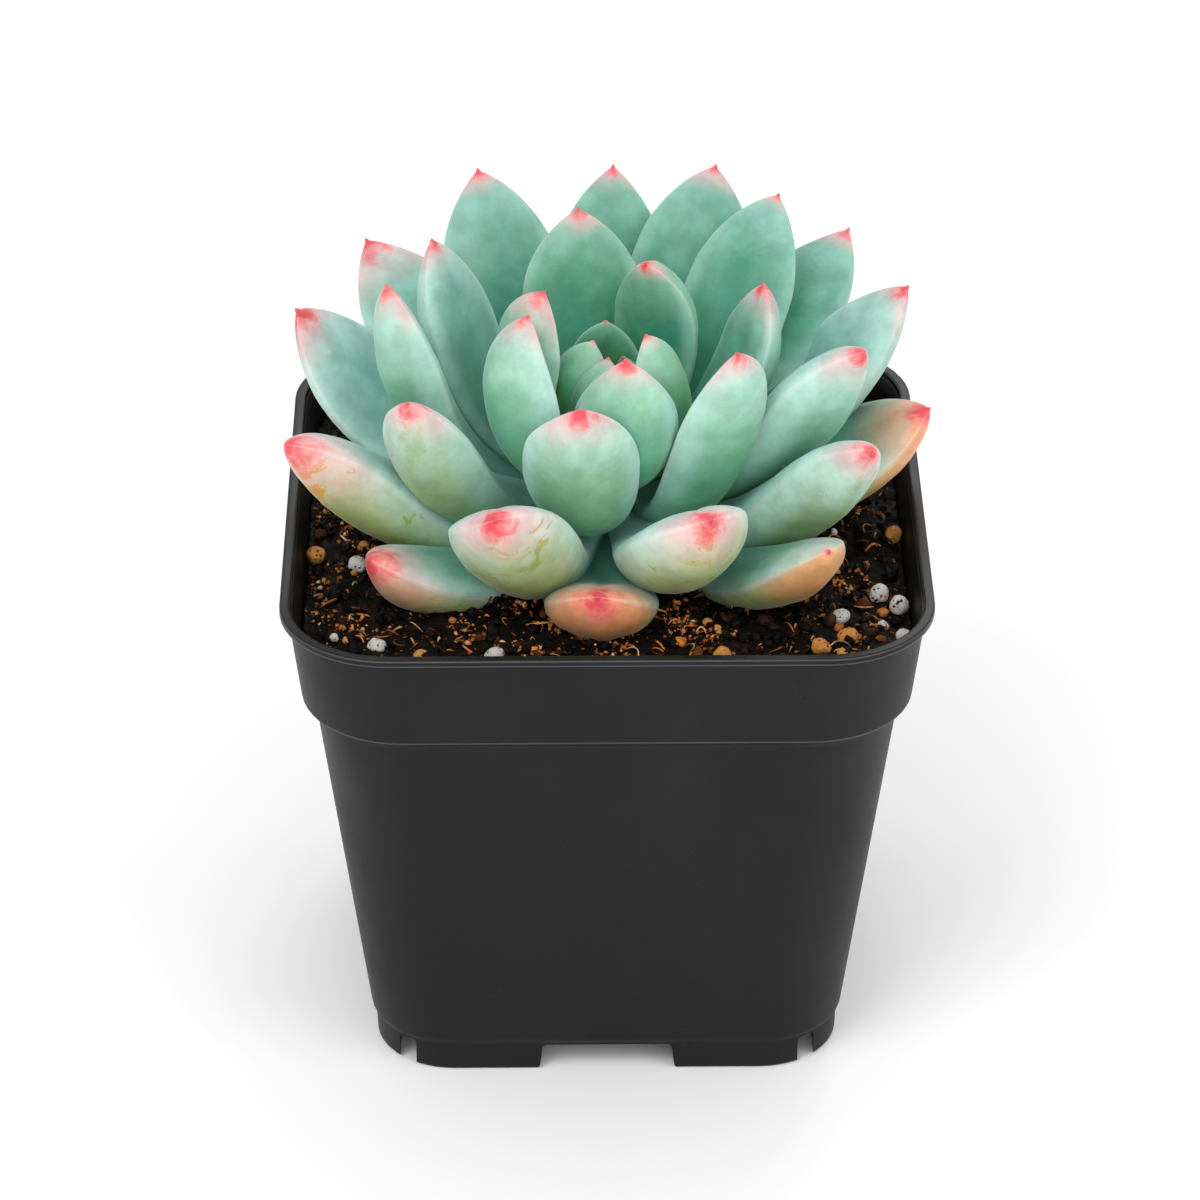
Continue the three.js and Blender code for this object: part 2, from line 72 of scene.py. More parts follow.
def lattice_noise(points, seed):
    """Smooth noise from -1 to 1 at (..., 3) points.

    Each corner of a unit cubic lattice gets a hashed random value, and the eight values round a
    point are blended by its eased distance from them along X, Y and Z.
    """
    cell = np.floor(points).astype(np.int64)
    ease = points - cell
    ease = ease * ease * (3 - 2 * ease)
    total = np.zeros(points.shape[:-1])
    for corner in np.ndindex(2, 2, 2):
        step = np.array(corner)
        x, y, z = np.moveaxis(cell + step, -1, 0)
        code = (x * 374761393 + y * 668265263 + z * 2246822519 + seed * 3266489917) & 0xFFFFFFFF
        code = ((code ^ (code >> 13)) * 1274126177) & 0xFFFFFFFF
        value = ((code ^ (code >> 16)) & 0xFFFF) / 32767.5 - 1
        total += value * np.prod(np.where(step, ease, 1 - ease), axis=-1)
    return total


def rough_noise(points, octaves, seed):
    """Sum of lattice noises, each twice as fine and half as strong as the one before."""
    layers = [lattice_noise(points * 2**k, seed + k) / 2**k for k in range(octaves)]
    return sum(layers) / (2 - 0.5 ** (octaves - 1))


def smoothstep(low, high, value):
    """0 below low, 1 above high, and an S-shaped cubic between them."""
    t = np.clip((value - low) / (high - low), 0, 1)
    return t * t * (3 - 2 * t)


def lerp(a, b, t):
    """A share of the way from one value to another."""
    return a + (b - a) * t


def grid_faces(rows, columns):
    """Quads of a grid that closes on itself across its columns, facing away from its axis."""
    i = np.arange(rows - 1)[:, None] * columns
    j = np.arange(columns)[None, :]
    k = (j + 1) % columns
    return np.stack([i + j, i + k, i + columns + k, i + columns + j], -1).reshape(-1, 4)


def closed_grid(points):
    """Vertices and faces of a tube of points (rows, columns, 3), closed by a fan at each end.

    The fan's middle is the mean of the end row.
    """
    rows, columns = points.shape[:2]
    first, last = points[0].mean(0), points[-1].mean(0)
    vertices = np.concatenate([points.reshape(-1, 3), [first, last]])
    j = np.arange(columns)
    k = (j + 1) % columns
    start, end = rows * columns, rows * columns + 1
    top = (rows - 1) * columns
    fans = [
        np.stack([np.full(columns, start), k, j], -1),
        np.stack([np.full(columns, end), top + j, top + k], -1),
    ]
    return vertices, [grid_faces(rows, columns), *fans]


def make_mesh(name, vertices, face_groups, attributes=None, sharp_angle=None):
    """A smooth-shaded object from vertex and face arrays, with per-vertex float attributes."""
    mesh = bpy.data.meshes.new(name)
    sizes = np.concatenate([np.full(len(group), group.shape[1]) for group in face_groups])
    corners = np.concatenate([group.ravel() for group in face_groups])
    mesh.vertices.add(len(vertices))
    mesh.vertices.foreach_set("co", np.asarray(vertices, np.float32).ravel())
    mesh.loops.add(len(corners))
    mesh.loops.foreach_set("vertex_index", corners.astype(np.int32))
    mesh.polygons.add(len(sizes))
    starts = np.concatenate([[0], np.cumsum(sizes)[:-1]])
    mesh.polygons.foreach_set("loop_start", starts.astype(np.int32))
    mesh.polygons.foreach_set("use_smooth", np.ones(len(sizes), bool))
    for key, values in (attributes or {}).items():
        layer = mesh.attributes.new(key, "FLOAT", "POINT")
        layer.data.foreach_set("value", np.asarray(values, np.float32).ravel())
    mesh.update(calc_edges=True)
    mesh.validate()
    if sharp_angle is not None:
        mesh.set_sharp_from_angle(angle=sharp_angle)
    piece = bpy.data.objects.new(name, mesh)
    bpy.context.scene.collection.objects.link(piece)
    return piece


def joined(parts):
    """One vertex array, face list and attribute dict from several (vertices, faces, attributes)."""
    vertices, groups, attributes, count = [], [], {}, 0
    for part_vertices, part_groups, part_attributes in parts:
        vertices.append(part_vertices)
        groups += [group + count for group in part_groups]
        for key, values in part_attributes.items():
            attributes.setdefault(key, []).append(np.broadcast_to(values, len(part_vertices)))
        count += len(part_vertices)
    return np.concatenate(vertices), groups, {k: np.concatenate(v) for k, v in attributes.items()}


def finish_piece(piece, material, slot, *nodes):
    """Gives the piece its material and its place on the body, and hides what it replaces. The slot is not
    used.
    """
    piece.data.materials.clear()
    piece.data.materials.append(material)
    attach(piece, BODY)
    if nodes:
        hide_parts(*nodes)
    return piece


def rotations(angles):
    """Rotation matrices (n, 3, 3) from Euler angles (n, 3) about X, then Y, then Z."""
    (cx, cy, cz), (sx, sy, sz) = np.cos(angles).T, np.sin(angles).T
    rows = [
        [cy * cz, sx * sy * cz - cx * sz, cx * sy * cz + sx * sz],
        [cy * sz, sx * sy * sz + cx * cz, cx * sy * sz - sx * cz],
        [-sy, sx * cy, cx * cy],
    ]
    return np.moveaxis(np.array(rows), -1, 0)


# ---------------------------------------------------------------- shader helpers


class Nodes:
    """Short calls for the nodes of one material or node group."""

    def __init__(self, tree):
        self.tree = tree

    def add(self, kind, **settings):
        """A new node of a type, with any settings."""
        node = self.tree.nodes.new(kind)
        for key, value in settings.items():
            setattr(node, key, value)
        return node

    def put(self, socket, value):
        """Links an output to the socket, or sets the socket's own value."""
        if isinstance(value, bpy.types.NodeSocket):
            self.tree.links.new(value, socket)
        elif value is not None:
            if socket.type == "RGBA" and len(value) == 3:
                value = (*value, 1)
            socket.default_value = value

    def attribute(self, name):
        """The value of a mesh attribute."""
        return self.add("ShaderNodeAttribute", attribute_name=name).outputs["Fac"]

    def place(self):
        """Object coordinates."""
        return self.add("ShaderNodeTexCoord").outputs["Object"]

    def math(self, operation, a, b=None, c=None, clamp=False):
        """A Math node that joins two or three values."""
        node = self.add("ShaderNodeMath", operation=operation, use_clamp=clamp)
        for socket, value in zip(node.inputs, (a, b, c)):
            self.put(socket, value)
        return node.outputs[0]

    def between(self, value, low, high):
        """0 at low, 1 at high, smooth between them. low may be above high."""
        node = self.add("ShaderNodeMapRange", interpolation_type="SMOOTHSTEP")
        for key, given in (("Value", value), ("From Min", low), ("From Max", high)):
            self.put(node.inputs[key], given)
        return node.outputs["Result"]

    def mix(self, factor, a, b, blend="MIX"):
        """One colour mixed into another by a mask."""
        node = self.add("ShaderNodeMix", data_type="RGBA", blend_type=blend)
        for index, value in ((0, factor), (6, a), (7, b)):
            self.put(node.inputs[index], value)
        return node.outputs[2]

    def noise(self, scale, detail=2.0, roughness=0.5, distortion=0.0, where=None, offset=None):
        """Noise at a scale, detail and roughness."""
        node = self.add("ShaderNodeTexNoise")
        where = where or self.place()
        if offset is not None:
            shift = self.add("ShaderNodeVectorMath", operation="ADD")
            self.put(shift.inputs[0], where)
            self.put(shift.inputs[1], offset)
            where = shift.outputs[0]
        values = (where, scale, detail, roughness, distortion)
        for key, value in zip(("Vector", "Scale", "Detail", "Roughness", "Distortion"), values):
            self.put(node.inputs[key], value)
        return node.outputs["Fac"]

    def cells(self, scale):
        """Distance to the nearest cell point at a scale."""
        node = self.add("ShaderNodeTexVoronoi")
        self.put(node.inputs["Vector"], self.place())
        self.put(node.inputs["Scale"], scale)
        return node.outputs["Distance"]

    def stretched(self, scale):
        """Object coordinates, stretched by a Mapping node."""
        node = self.add("ShaderNodeMapping")
        self.put(node.inputs["Vector"], self.place())
        self.put(node.inputs["Scale"], scale)
        return node.outputs["Vector"]

    def bump(self, height, strength, distance):
        """A normal bumped by a height."""
        node = self.add("ShaderNodeBump")
        values = {"Height": height, "Strength": strength, "Distance": distance}
        for key, value in values.items():
            self.put(node.inputs[key], value)
        return node.outputs["Normal"]

    def group(self, tree, **inputs):
        """A node group with its input values."""
        node = self.add("ShaderNodeGroup", node_tree=tree)
        for key, value in inputs.items():
            self.put(node.inputs[key.replace("_", " ")], value)
        return node.outputs


def linear(red, green, blue):
    """Linear colour from 0-255 display values."""
    shares = np.array([red, green, blue]) / 255
    return tuple(np.where(shares <= 0.04045, shares / 12.92, ((shares + 0.055) / 1.055) ** 2.4))


def colour_setting(name, description, *levels):
    """A colour property; its default is three sRGB levels from 0 to 255."""
    default = linear(*levels)
    return FloatVectorProperty(
        name=name, description=description, subtype="COLOR", default=default, min=0, max=1
    )


def new_material(name, **shader_values):
    """A material with one Principled BSDF, whose own sockets take the given constants."""
    material = bpy.data.materials.new(name)
    material.use_nodes = True
    shader = material.node_tree.nodes["Principled BSDF"]
    for key, value in shader_values.items():
        shader.inputs[key.replace("_", " ")].default_value = value
    return material, Nodes(material.node_tree), shader


def new_group(name, inputs, outputs):
    """An empty shader node group with float inputs (name: default) and typed outputs."""
    tree = bpy.data.node_groups.new(name, "ShaderNodeTree")
    for key, default in inputs.items():
        socket = tree.interface.new_socket(key, in_out="INPUT", socket_type="NodeSocketFloat")
        socket.default_value = default
    for key, kind in outputs.items():
        tree.interface.new_socket(key, in_out="OUTPUT", socket_type=kind)
    nodes = Nodes(tree)
    return tree, nodes, nodes.add("NodeGroupInput").outputs, nodes.add("NodeGroupOutput").inputs


def fine_grain():
    """Node group: a fine even grain, as a height and as a soft mottle from 0 to 1."""
    name = "Fine grain"
    if name in bpy.data.node_groups:
        return bpy.data.node_groups[name]
    inputs = {"Scale": 2500.0, "Mottle Scale": 120.0}
    outputs = {"Height": "NodeSocketFloat", "Mottle": "NodeSocketFloat"}
    tree, nodes, given, made = new_group(name, inputs, outputs)
    nodes.put(made["Height"], nodes.noise(given["Scale"], 2.0, 0.6))
    coarse = nodes.noise(given["Mottle Scale"], 4.0, 0.6)
    nodes.put(made["Mottle"], nodes.between(coarse, 0.3, 0.7))
    return tree


def porous_skin():
    """Node group: pits of mixed sizes in a rough grain, as a height and a mask of the pits."""
    name = "Porous skin"
    if name in bpy.data.node_groups:
        return bpy.data.node_groups[name]
    inputs = {"Pit Scale": 1500.0, "Pit Share": 0.35}
    outputs = {"Height": "NodeSocketFloat", "Pits": "NodeSocketFloat"}
    tree, nodes, given, made = new_group(name, inputs, outputs)
    pit_edge = nodes.math("MULTIPLY", given["Pit Share"], nodes.noise(700.0, 2.0))
    pits = nodes.between(nodes.cells(given["Pit Scale"]), pit_edge, 0.0)
    rough = nodes.noise(2200.0, 5.0, 0.65)
    nodes.put(made["Pits"], pits)
    nodes.put(made["Height"], nodes.math("SUBTRACT", rough, pits))
    return tree


# ---------------------------------------------------------------- pot

LIP_CORNER_MM = 17
LIP_WIDTH_MM = 1.6
LIP_HEIGHT_MM = 1.3
LIP_OVERHANG_MM = 1.2
BAND_HEIGHT_MM = 15.4
BAND_TAPER_MM = 1.8
SHOULDER_STEP_MM = 1.9
SHOULDER_HEIGHT_MM = 1.4
BODY_TAPER_MM = 7.5
CREASE_INSET_MM = 0.6
CREASE_HEIGHT_MM = 0.8
WALL_MM = 1.2
FLOOR_MM = 1.6
FOOT_HEIGHT_MM = 5.2
FOOT_THICKNESS_MM = 3.6
FOOT_DRAFT_MM = 0.2
NOTCH_WIDTH_MM = 20.5
NOTCH_HEIGHT_MM = 4.8
NOTCH_DRAFT_MM = 1.4
SLOT_WIDTH_MM = 2.6
SLOT_DEPTH_MM = 12
SLOT_FROM_CORNER_MM = 5.3
DRAIN_RADIUS_MM = 4
DRAIN_SPACING_MM = 21

LIP_HALF_MM = POT_WIDTH / 2 / MM
RIM_MM = POT_HEIGHT / MM
BAND_TOP_HALF_MM = LIP_HALF_MM - LIP_OVERHANG_MM
BAND_BOTTOM_HALF_MM = BAND_TOP_HALF_MM - BAND_TAPER_MM
BODY_TOP_HALF_MM = BAND_BOTTOM_HALF_MM - SHOULDER_STEP_MM
BODY_BOTTOM_HALF_MM = BODY_TOP_HALF_MM - BODY_TAPER_MM
FOOT_HALF_MM = BODY_BOTTOM_HALF_MM - CREASE_INSET_MM
LIP_UNDERSIDE_MM = RIM_MM - LIP_HEIGHT_MM
BAND_BOTTOM_MM = LIP_UNDERSIDE_MM - BAND_HEIGHT_MM
BODY_TOP_MM = BAND_BOTTOM_MM - SHOULDER_HEIGHT_MM
BODY_BOTTOM_MM = FOOT_HEIGHT_MM + CREASE_HEIGHT_MM
FLOOR_TOP_MM = FOOT_HEIGHT_MM + FLOOR_MM
CORNER_SHARE = LIP_CORNER_MM / LIP_HALF_MM


def filleted(corners, steps=5):
    """A profile whose corners (half width, height, radius) are rounded by arcs.

    A corner of radius r is replaced by the quadratic curve between the points a distance r
    before and after it.
    """
    line = [corners[0][:2]]
    for before, here, after in zip(corners, corners[1:], corners[2:]):
        at, radius = np.array(here[:2]), here[2]
        starts = []
        for other in (before, after):
            way = np.array(other[:2]) - at
            starts.append(at + way / np.linalg.norm(way) * min(radius, np.linalg.norm(way) / 2))
        for t in np.linspace(0, 1, steps):
            line.append((1 - t) ** 2 * starts[0] + 2 * t * (1 - t) * at + t * t * starts[1])
    line.append(corners[-1][:2])
    return np.array(line)


def rounded_square(half, corner, steps=14, straight=10):
    """Points (n, 2) of a square with round corners, anticlockwise: four arcs and four straight sides."""
    half, corner = np.asarray(half)[..., None], np.asarray(corner)[..., None]
    arc = np.linspace(0, math.pi / 2, steps)
    along = np.linspace(1, -1, straight + 2)[1:-1]
    x = (half - corner) + corner * np.cos(arc)
    y = (half - corner) + corner * np.sin(arc)
    side_x, side_y = (half - corner) * along, half + 0 * along
    x, y = np.concatenate([x, side_x], -1), np.concatenate([y, side_y], -1)
    sides = [(x, y), (-y, x), (-x, -y), (y, -x)]
    return np.stack([np.concatenate(axis, -1) for axis in zip(*sides)], -1)


def lofted_square(profile, insets):
    """Points (rows, columns, 3) in metres: a rounded square at each row of an (outer half, height) profile.

    Each row's corner radius is a fixed share of its outer half width, less its inset.
    """
    outer = profile[:, 0] + insets
    ring = rounded_square(profile[:, 0], np.maximum(outer * CORNER_SHARE - insets, 0.01))
    height = np.broadcast_to(profile[:, 1, None, None], (*ring.shape[:2], 1))
    return np.concatenate([ring, height], -1) * MM


def pot_profile():
    """The pot's section: corners (half width, height, fillet), from under the floor over the lip and in."""
    bead = LIP_HEIGHT_MM * 0.3
    return filleted(
        [
            (0.5, FOOT_HEIGHT_MM, 0),
            (FOOT_HALF_MM - FOOT_THICKNESS_MM, FOOT_HEIGHT_MM, 0.8),
            (FOOT_HALF_MM - FOOT_THICKNESS_MM, 0, 0.4),
            (FOOT_HALF_MM - FOOT_DRAFT_MM, 0, 0.7),
            (FOOT_HALF_MM, FOOT_HEIGHT_MM, 0.4),
            (BODY_BOTTOM_HALF_MM, BODY_BOTTOM_MM, 0.6),
            (BODY_TOP_HALF_MM, BODY_TOP_MM, 0.9),
            (BAND_BOTTOM_HALF_MM, BAND_BOTTOM_MM, 0.55),
            (BAND_TOP_HALF_MM, LIP_UNDERSIDE_MM, 0.5),
            (LIP_HALF_MM, LIP_UNDERSIDE_MM, bead),
            (LIP_HALF_MM, RIM_MM, bead),
            (LIP_HALF_MM - LIP_WIDTH_MM, RIM_MM, 0.35),
            (LIP_HALF_MM - LIP_WIDTH_MM - 0.1, RIM_MM - 0.7, 0.2),
            (BAND_TOP_HALF_MM - WALL_MM, LIP_UNDERSIDE_MM - WALL_MM, 0.5),
            (BAND_BOTTOM_HALF_MM - WALL_MM, BAND_BOTTOM_MM + WALL_MM, 0.8),
            (BODY_TOP_HALF_MM - WALL_MM, BODY_TOP_MM + WALL_MM, 0.8),
            (BODY_BOTTOM_HALF_MM - WALL_MM, FLOOR_TOP_MM, 2.0),
            (0.5, FLOOR_TOP_MM, 0),
        ]
    )


def foot_gap(width, draft, flare, turn, offset, through):
    """Grid points of a cutter that runs through mm deep into one side of the foot ring.

    Its section is an upright trapezoid whose mouth flares out in a quarter round at the ground.
    """
    arc = np.linspace(0, math.pi / 2, 5)
    right = [(width / 2, NOTCH_HEIGHT_MM - 0.4), (width / 2 + draft, flare)]
    right += [(width / 2 + draft + flare * (1 - math.cos(a)), flare * (1 - math.sin(a))) for a in arc[1:]]
    right += [(width / 2 + draft + flare, -1.0)]
    right = np.array([(width / 2 - 0.4, NOTCH_HEIGHT_MM), *right])
    outline = np.concatenate([right * (-1, 1), right[::-1]])
    outer = -FOOT_HALF_MM - FOOT_THICKNESS_MM / 2
    rows = []
    for y in (outer + through, outer):
        rows.append(np.c_[outline[:, 0] + offset, np.full(len(outline), y), outline[:, 1]])
    tube = np.array(rows)
    c, s = math.cos(turn), math.sin(turn)
    return tube @ np.array([[c, s, 0], [-s, c, 0], [0, 0, 1]]) * MM


def drain_cutter(x, y):
    """A short upright cylinder through the floor."""
    turn = np.linspace(0, 2 * math.pi, 33)[:-1]
    ring = np.stack([x + DRAIN_RADIUS_MM * np.cos(turn), y + DRAIN_RADIUS_MM * np.sin(turn)], -1)
    levels = (FOOT_HEIGHT_MM - 1, FLOOR_TOP_MM + 1)
    return np.array([np.c_[ring, np.full(len(ring), z)] for z in levels]) * MM


def cut_with(piece, tubes):
    """Cuts closed tubes out of a piece with an exact Boolean modifier, applied at once."""
    parts = [(*closed_grid(tube), {}) for tube in tubes]
    vertices, faces, _ = joined(parts)
    cutter = make_mesh("foot_cutter", vertices, faces)
    modifier = piece.modifiers.new("Foot gaps", "BOOLEAN")
    modifier.operation = "DIFFERENCE"
    modifier.solver = "EXACT"
    modifier.use_self = True
    modifier.object = cutter
    shape = bpy.context.evaluated_depsgraph_get()
    shape.update()
    cut = bpy.data.meshes.new_from_object(piece.evaluated_get(shape))
    piece.modifiers.clear()
    piece.data = cut
    bpy.data.objects.remove(cutter)


def plastic_material(sizes):
    """Matt near-black moulded plastic: fine grain, faint handling marks and dust, a shinier lip, and painted
    highlight lines along the lip's and the band's edges.
    """
    material, nodes, shader = new_material("Black pot plastic", Roughness=0.5)
    shader.inputs["Specular IOR Level"].default_value = 0.25
    grain = nodes.group(fine_grain(), Scale=3500.0, Mottle_Scale=45.0)
    height = nodes.add("ShaderNodeSeparateXYZ")
    nodes.put(height.inputs[0], nodes.place())
    lip = nodes.between(height.outputs["Z"], (LIP_UNDERSIDE_MM - 0.1) * MM, (LIP_UNDERSIDE_MM + 0.3) * MM)
    base = tuple(sizes.plastic_colour)
    worn = tuple(channel * 1.5 + 0.004 for channel in base)
    streaks = nodes.noise(60.0, 3.0, 0.6, where=nodes.stretched((1, 1, 0.25)))
    marks = nodes.math("MULTIPLY", nodes.between(streaks, 0.5, 0.75), 0.35)
    colour = nodes.mix(marks, base, worn)
    specks = nodes.between(nodes.cells(900.0), 0.09, 0.04)
    rare = nodes.between(nodes.noise(150.0, 1.0), 0.62, 0.72)
    dust = nodes.math("MULTIPLY", specks, rare)
    colour = nodes.mix(nodes.math("MULTIPLY", dust, 0.25), colour, linear(120, 115, 108))
    # Painted highlight: thin pale lines at the band's lower edge, near the top of the rim and just above the
    # lip's underside stand in for light caught by the rounded edges.
    for edge, width in ((BAND_BOTTOM_MM + 0.1, 0.3), (RIM_MM - 0.22, 0.2), (LIP_UNDERSIDE_MM + 0.25, 0.25)):
        away = nodes.math("ABSOLUTE", nodes.math("SUBTRACT", height.outputs["Z"], edge * MM))
        wear_and_painted_highlight = nodes.math("MULTIPLY", nodes.between(away, width * MM, 0.0), 0.3)
        colour = nodes.mix(wear_and_painted_highlight, colour, linear(118, 120, 124))
    nodes.put(shader.inputs["Base Color"], colour)
    rough = nodes.math("MULTIPLY_ADD", grain["Mottle"], 0.1, nodes.math("MULTIPLY_ADD", lip, -0.12, 0.46))
    nodes.put(shader.inputs["Roughness"], rough)
    nodes.put(shader.inputs["Normal"], nodes.bump(grain["Height"], 0.25, 0.0001))
    return material


class PotProperties(bpy.types.PropertyGroup):
    """Settings of the pot"""

    plastic_colour: colour_setting("Plastic", "Colour of the moulded plastic", 10, 10, 11)


class SUCCULENT_OT_pot(bpy.types.Operator):
    """Build the square nursery pot: lip, band, tapered body and notched foot ring"""

    bl_idname = "succulent.pot"
    bl_label = "Pot"

    def execute(self, context):
        sizes = context.scene.succulent_pot
        profile = pot_profile()
        over_lip = int(np.argmax(profile[:, 1]))
        insets = np.where(np.arange(len(profile)) > over_lip, WALL_MM, 0.0)
        vertices, faces = closed_grid(lofted_square(profile, insets))
        piece = make_mesh("pot_shell", vertices, faces)
        slot_place = FOOT_HALF_MM - SLOT_FROM_CORNER_MM
        tubes = []
        for side in range(4):
            turn = side * math.pi / 2
            tubes.append(foot_gap(NOTCH_WIDTH_MM, NOTCH_DRAFT_MM - 1, 1, turn, 0, 2 * FOOT_THICKNESS_MM))
            if side % 2 == 0:
                for sign in (-1, 1):
                    place = sign * slot_place
                    tubes.append(foot_gap(SLOT_WIDTH_MM, 0, 0.3, turn, place, SLOT_DEPTH_MM))
        spots = [(0, 0)] + [
            (x, y) for x in (-DRAIN_SPACING_MM, DRAIN_SPACING_MM) for y in (
                -DRAIN_SPACING_MM, DRAIN_SPACING_MM
            )
        ]
        tubes += [drain_cutter(x, y) for x, y in spots]
        cut_with(piece, tubes)
        piece.data.set_sharp_from_angle(angle=math.radians(40))
        finish_piece(piece, plastic_material(sizes), "black_plastic", "pot")
        return {"FINISHED"}


# ---------------------------------------------------------------- potting mix

SOIL_DROP_MM = 6.2
SOIL_TOP_MM = RIM_MM - SOIL_DROP_MM
SOIL_GAP_MM = 0.3


def inner_half(z):
    """The wall's inner half width in millimetres at a height in the band."""
    rise = (z - BAND_BOTTOM_MM) / (LIP_UNDERSIDE_MM - BAND_BOTTOM_MM)
    return lerp(BAND_BOTTOM_HALF_MM, BAND_TOP_HALF_MM, rise) - WALL_MM


SOIL_HALF_MM = inner_half(SOIL_TOP_MM) - SOIL_GAP_MM
SOIL_CORNER_MM = LIP_CORNER_MM - WALL_MM - 1.5


def soil_height(x, y):
    """Height of the mix in mm: broad mounds, clods about 6 mm wide and crumbs, lower by the walls."""
    place = np.stack([x, y, np.zeros_like(x)], -1)
    mounds = lattice_noise(place / 17, 3)
    clods = 1 - np.abs(rough_noise(place / 6.5, 3, 11)) * 2
    crumbs = rough_noise(place / 1.7, 3, 29)
    edge = np.maximum(np.abs(x), np.abs(y)) / SOIL_HALF_MM
    sink = 1.0 * smoothstep(0.9, 1.0, edge)
    return SOIL_TOP_MM + 0.5 * mounds + 0.75 * clods + 0.5 * crumbs - sink - 0.2


def mix_surface(count=250):
    """Vertices and faces of the block of mix, in metres.

    A square grid of (a, b) from -1 to 1 is pulled in at its corners to a rounded square, lifted to the
    soil's height, and closed by a skirt down to the pot's floor.
    """
    line = np.linspace(-1, 1, count)
    a, b = np.meshgrid(line, line, indexing="xy")
    big, small = np.maximum(abs(a), abs(b)), np.minimum(abs(a), abs(b))
    ratio = small / np.maximum(big, 1e-9)
    straight = 1 - SOIL_CORNER_MM / SOIL_HALF_MM
    radius = 1 - straight
    k = 1 + ratio**2
    middle = straight * (1 + ratio)
    reach = (middle + np.sqrt(np.maximum(middle**2 - k * (2 * straight**2 - radius**2), 0))) / k
    scale = np.where(ratio > straight, np.minimum(reach, 1), 1)
    scale = lerp(1, scale, smoothstep(0.55, 1, big))
    x, y = a * scale * SOIL_HALF_MM, b * scale * SOIL_HALF_MM
    z = soil_height(x, y)
    top = np.stack([x, y, z], -1).reshape(-1, 3)
    index = np.arange(count * count).reshape(count, count)
    quads = np.stack([index[:-1, :-1], index[:-1, 1:], index[1:, 1:], index[1:, :-1]], -1).reshape(-1, 4)
    border = np.concatenate([index[0, :-1], index[:-1, -1], index[-1, :0:-1], index[:0:-1, 0]])
    edge = top[border]
    floor_share = (BODY_BOTTOM_HALF_MM - WALL_MM - SOIL_GAP_MM) / SOIL_HALF_MM
    shoulder_share = (BODY_TOP_HALF_MM - WALL_MM - SOIL_GAP_MM) / SOIL_HALF_MM
    skirts = []
    for share, height in ((shoulder_share, BODY_TOP_MM), (floor_share, FLOOR_TOP_MM + SOIL_GAP_MM)):
        skirts.append(np.c_[edge[:, :2] * share, np.full(len(edge), height)])
    bottom = [[0, 0, FLOOR_TOP_MM + SOIL_GAP_MM]]
    vertices = np.concatenate([top, *skirts, bottom]) * MM
    n = len(border)
    first = count * count + np.arange(n)
    second = first + n
    groups = [quads]
    for upper, lower in ((border, first), (first, second)):
        groups.append(np.stack([upper, lower, np.roll(lower, -1), np.roll(upper, -1)], -1))
    last = np.full(n, count * count + 2 * n)
    groups.append(np.stack([last, np.roll(second, -1), second], -1))
    return vertices, groups


def scatter_spots(random, count, margin):
    """Random (n, 2) places on the mix, in millimetres, kept a margin from the rounded-square wall."""
    half, corner = SOIL_HALF_MM - margin, SOIL_CORNER_MM
    spots = random.uniform(-half, half, (count * 2, 2))
    over = np.maximum(np.abs(spots) - (half - corner), 0)
    inside = np.hypot(over[:, 0], over[:, 1]) < corner
    return spots[inside][:count]


def ball_template(random, rows, sides, lump):
    """A lumpy closed ball of radius 1: latitude rows and sides, each point pushed in or out by noise."""
    tilt = np.linspace(0.12, math.pi - 0.12, rows)[::-1]
    turn = np.linspace(0, 2 * math.pi, sides + 1)[:-1]
    points = np.stack(
        [
            np.sin(tilt)[:, None] * np.cos(turn),
            np.sin(tilt)[:, None] * np.sin(turn),
            np.cos(tilt)[:, None] + 0 * turn,
        ],
        -1,
    )
    shift = random.uniform(0, 50, 3)
    push = 1 + lump * lattice_noise(points * 1.6 + shift, 5)
    return closed_grid(points * push[..., None])


def scattered(random, templates, spots, sizes, flat, sink, tones):
    """Copies of templates laid on the mix: one (vertices, faces, attributes) part.

    Every copy is scaled, squashed, turned at random and set down at its spot. tone is kept for each copy.
    """
    parts = []
    kind = np.arange(len(spots)) % len(templates)
    for number, (shape, groups) in enumerate(templates):
        chosen = np.flatnonzero(kind == number)
        n = len(chosen)
        stretch = np.stack(
            [random.uniform(0.75, 1.25, n), random.uniform(0.7, 1.1, n), random.uniform(*flat, n)],
            -1,
        )
        spin = rotations(np.stack([*random.uniform(-0.7, 0.7, (2, n)), random.uniform(0, 6.283, n)], -1))
        size = sizes[chosen] / 2
        points = (shape[None] * (stretch * size[:, None])[:, None]) @ np.swapaxes(spin, 1, 2)
        x, y = spots[chosen].T
        base = soil_height(x, y) + size * sink
        points += np.stack([x, y, base], -1)[:, None]
        steps = (np.arange(n) * len(shape))[:, None, None]
        faces = [(group[None] + steps).reshape(-1, group.shape[1]) for group in groups]
        tone = np.repeat(tones[chosen], len(shape))
        parts.append((points.reshape(-1, 3) * MM, faces, {"tone": tone}))
    return joined(parts)


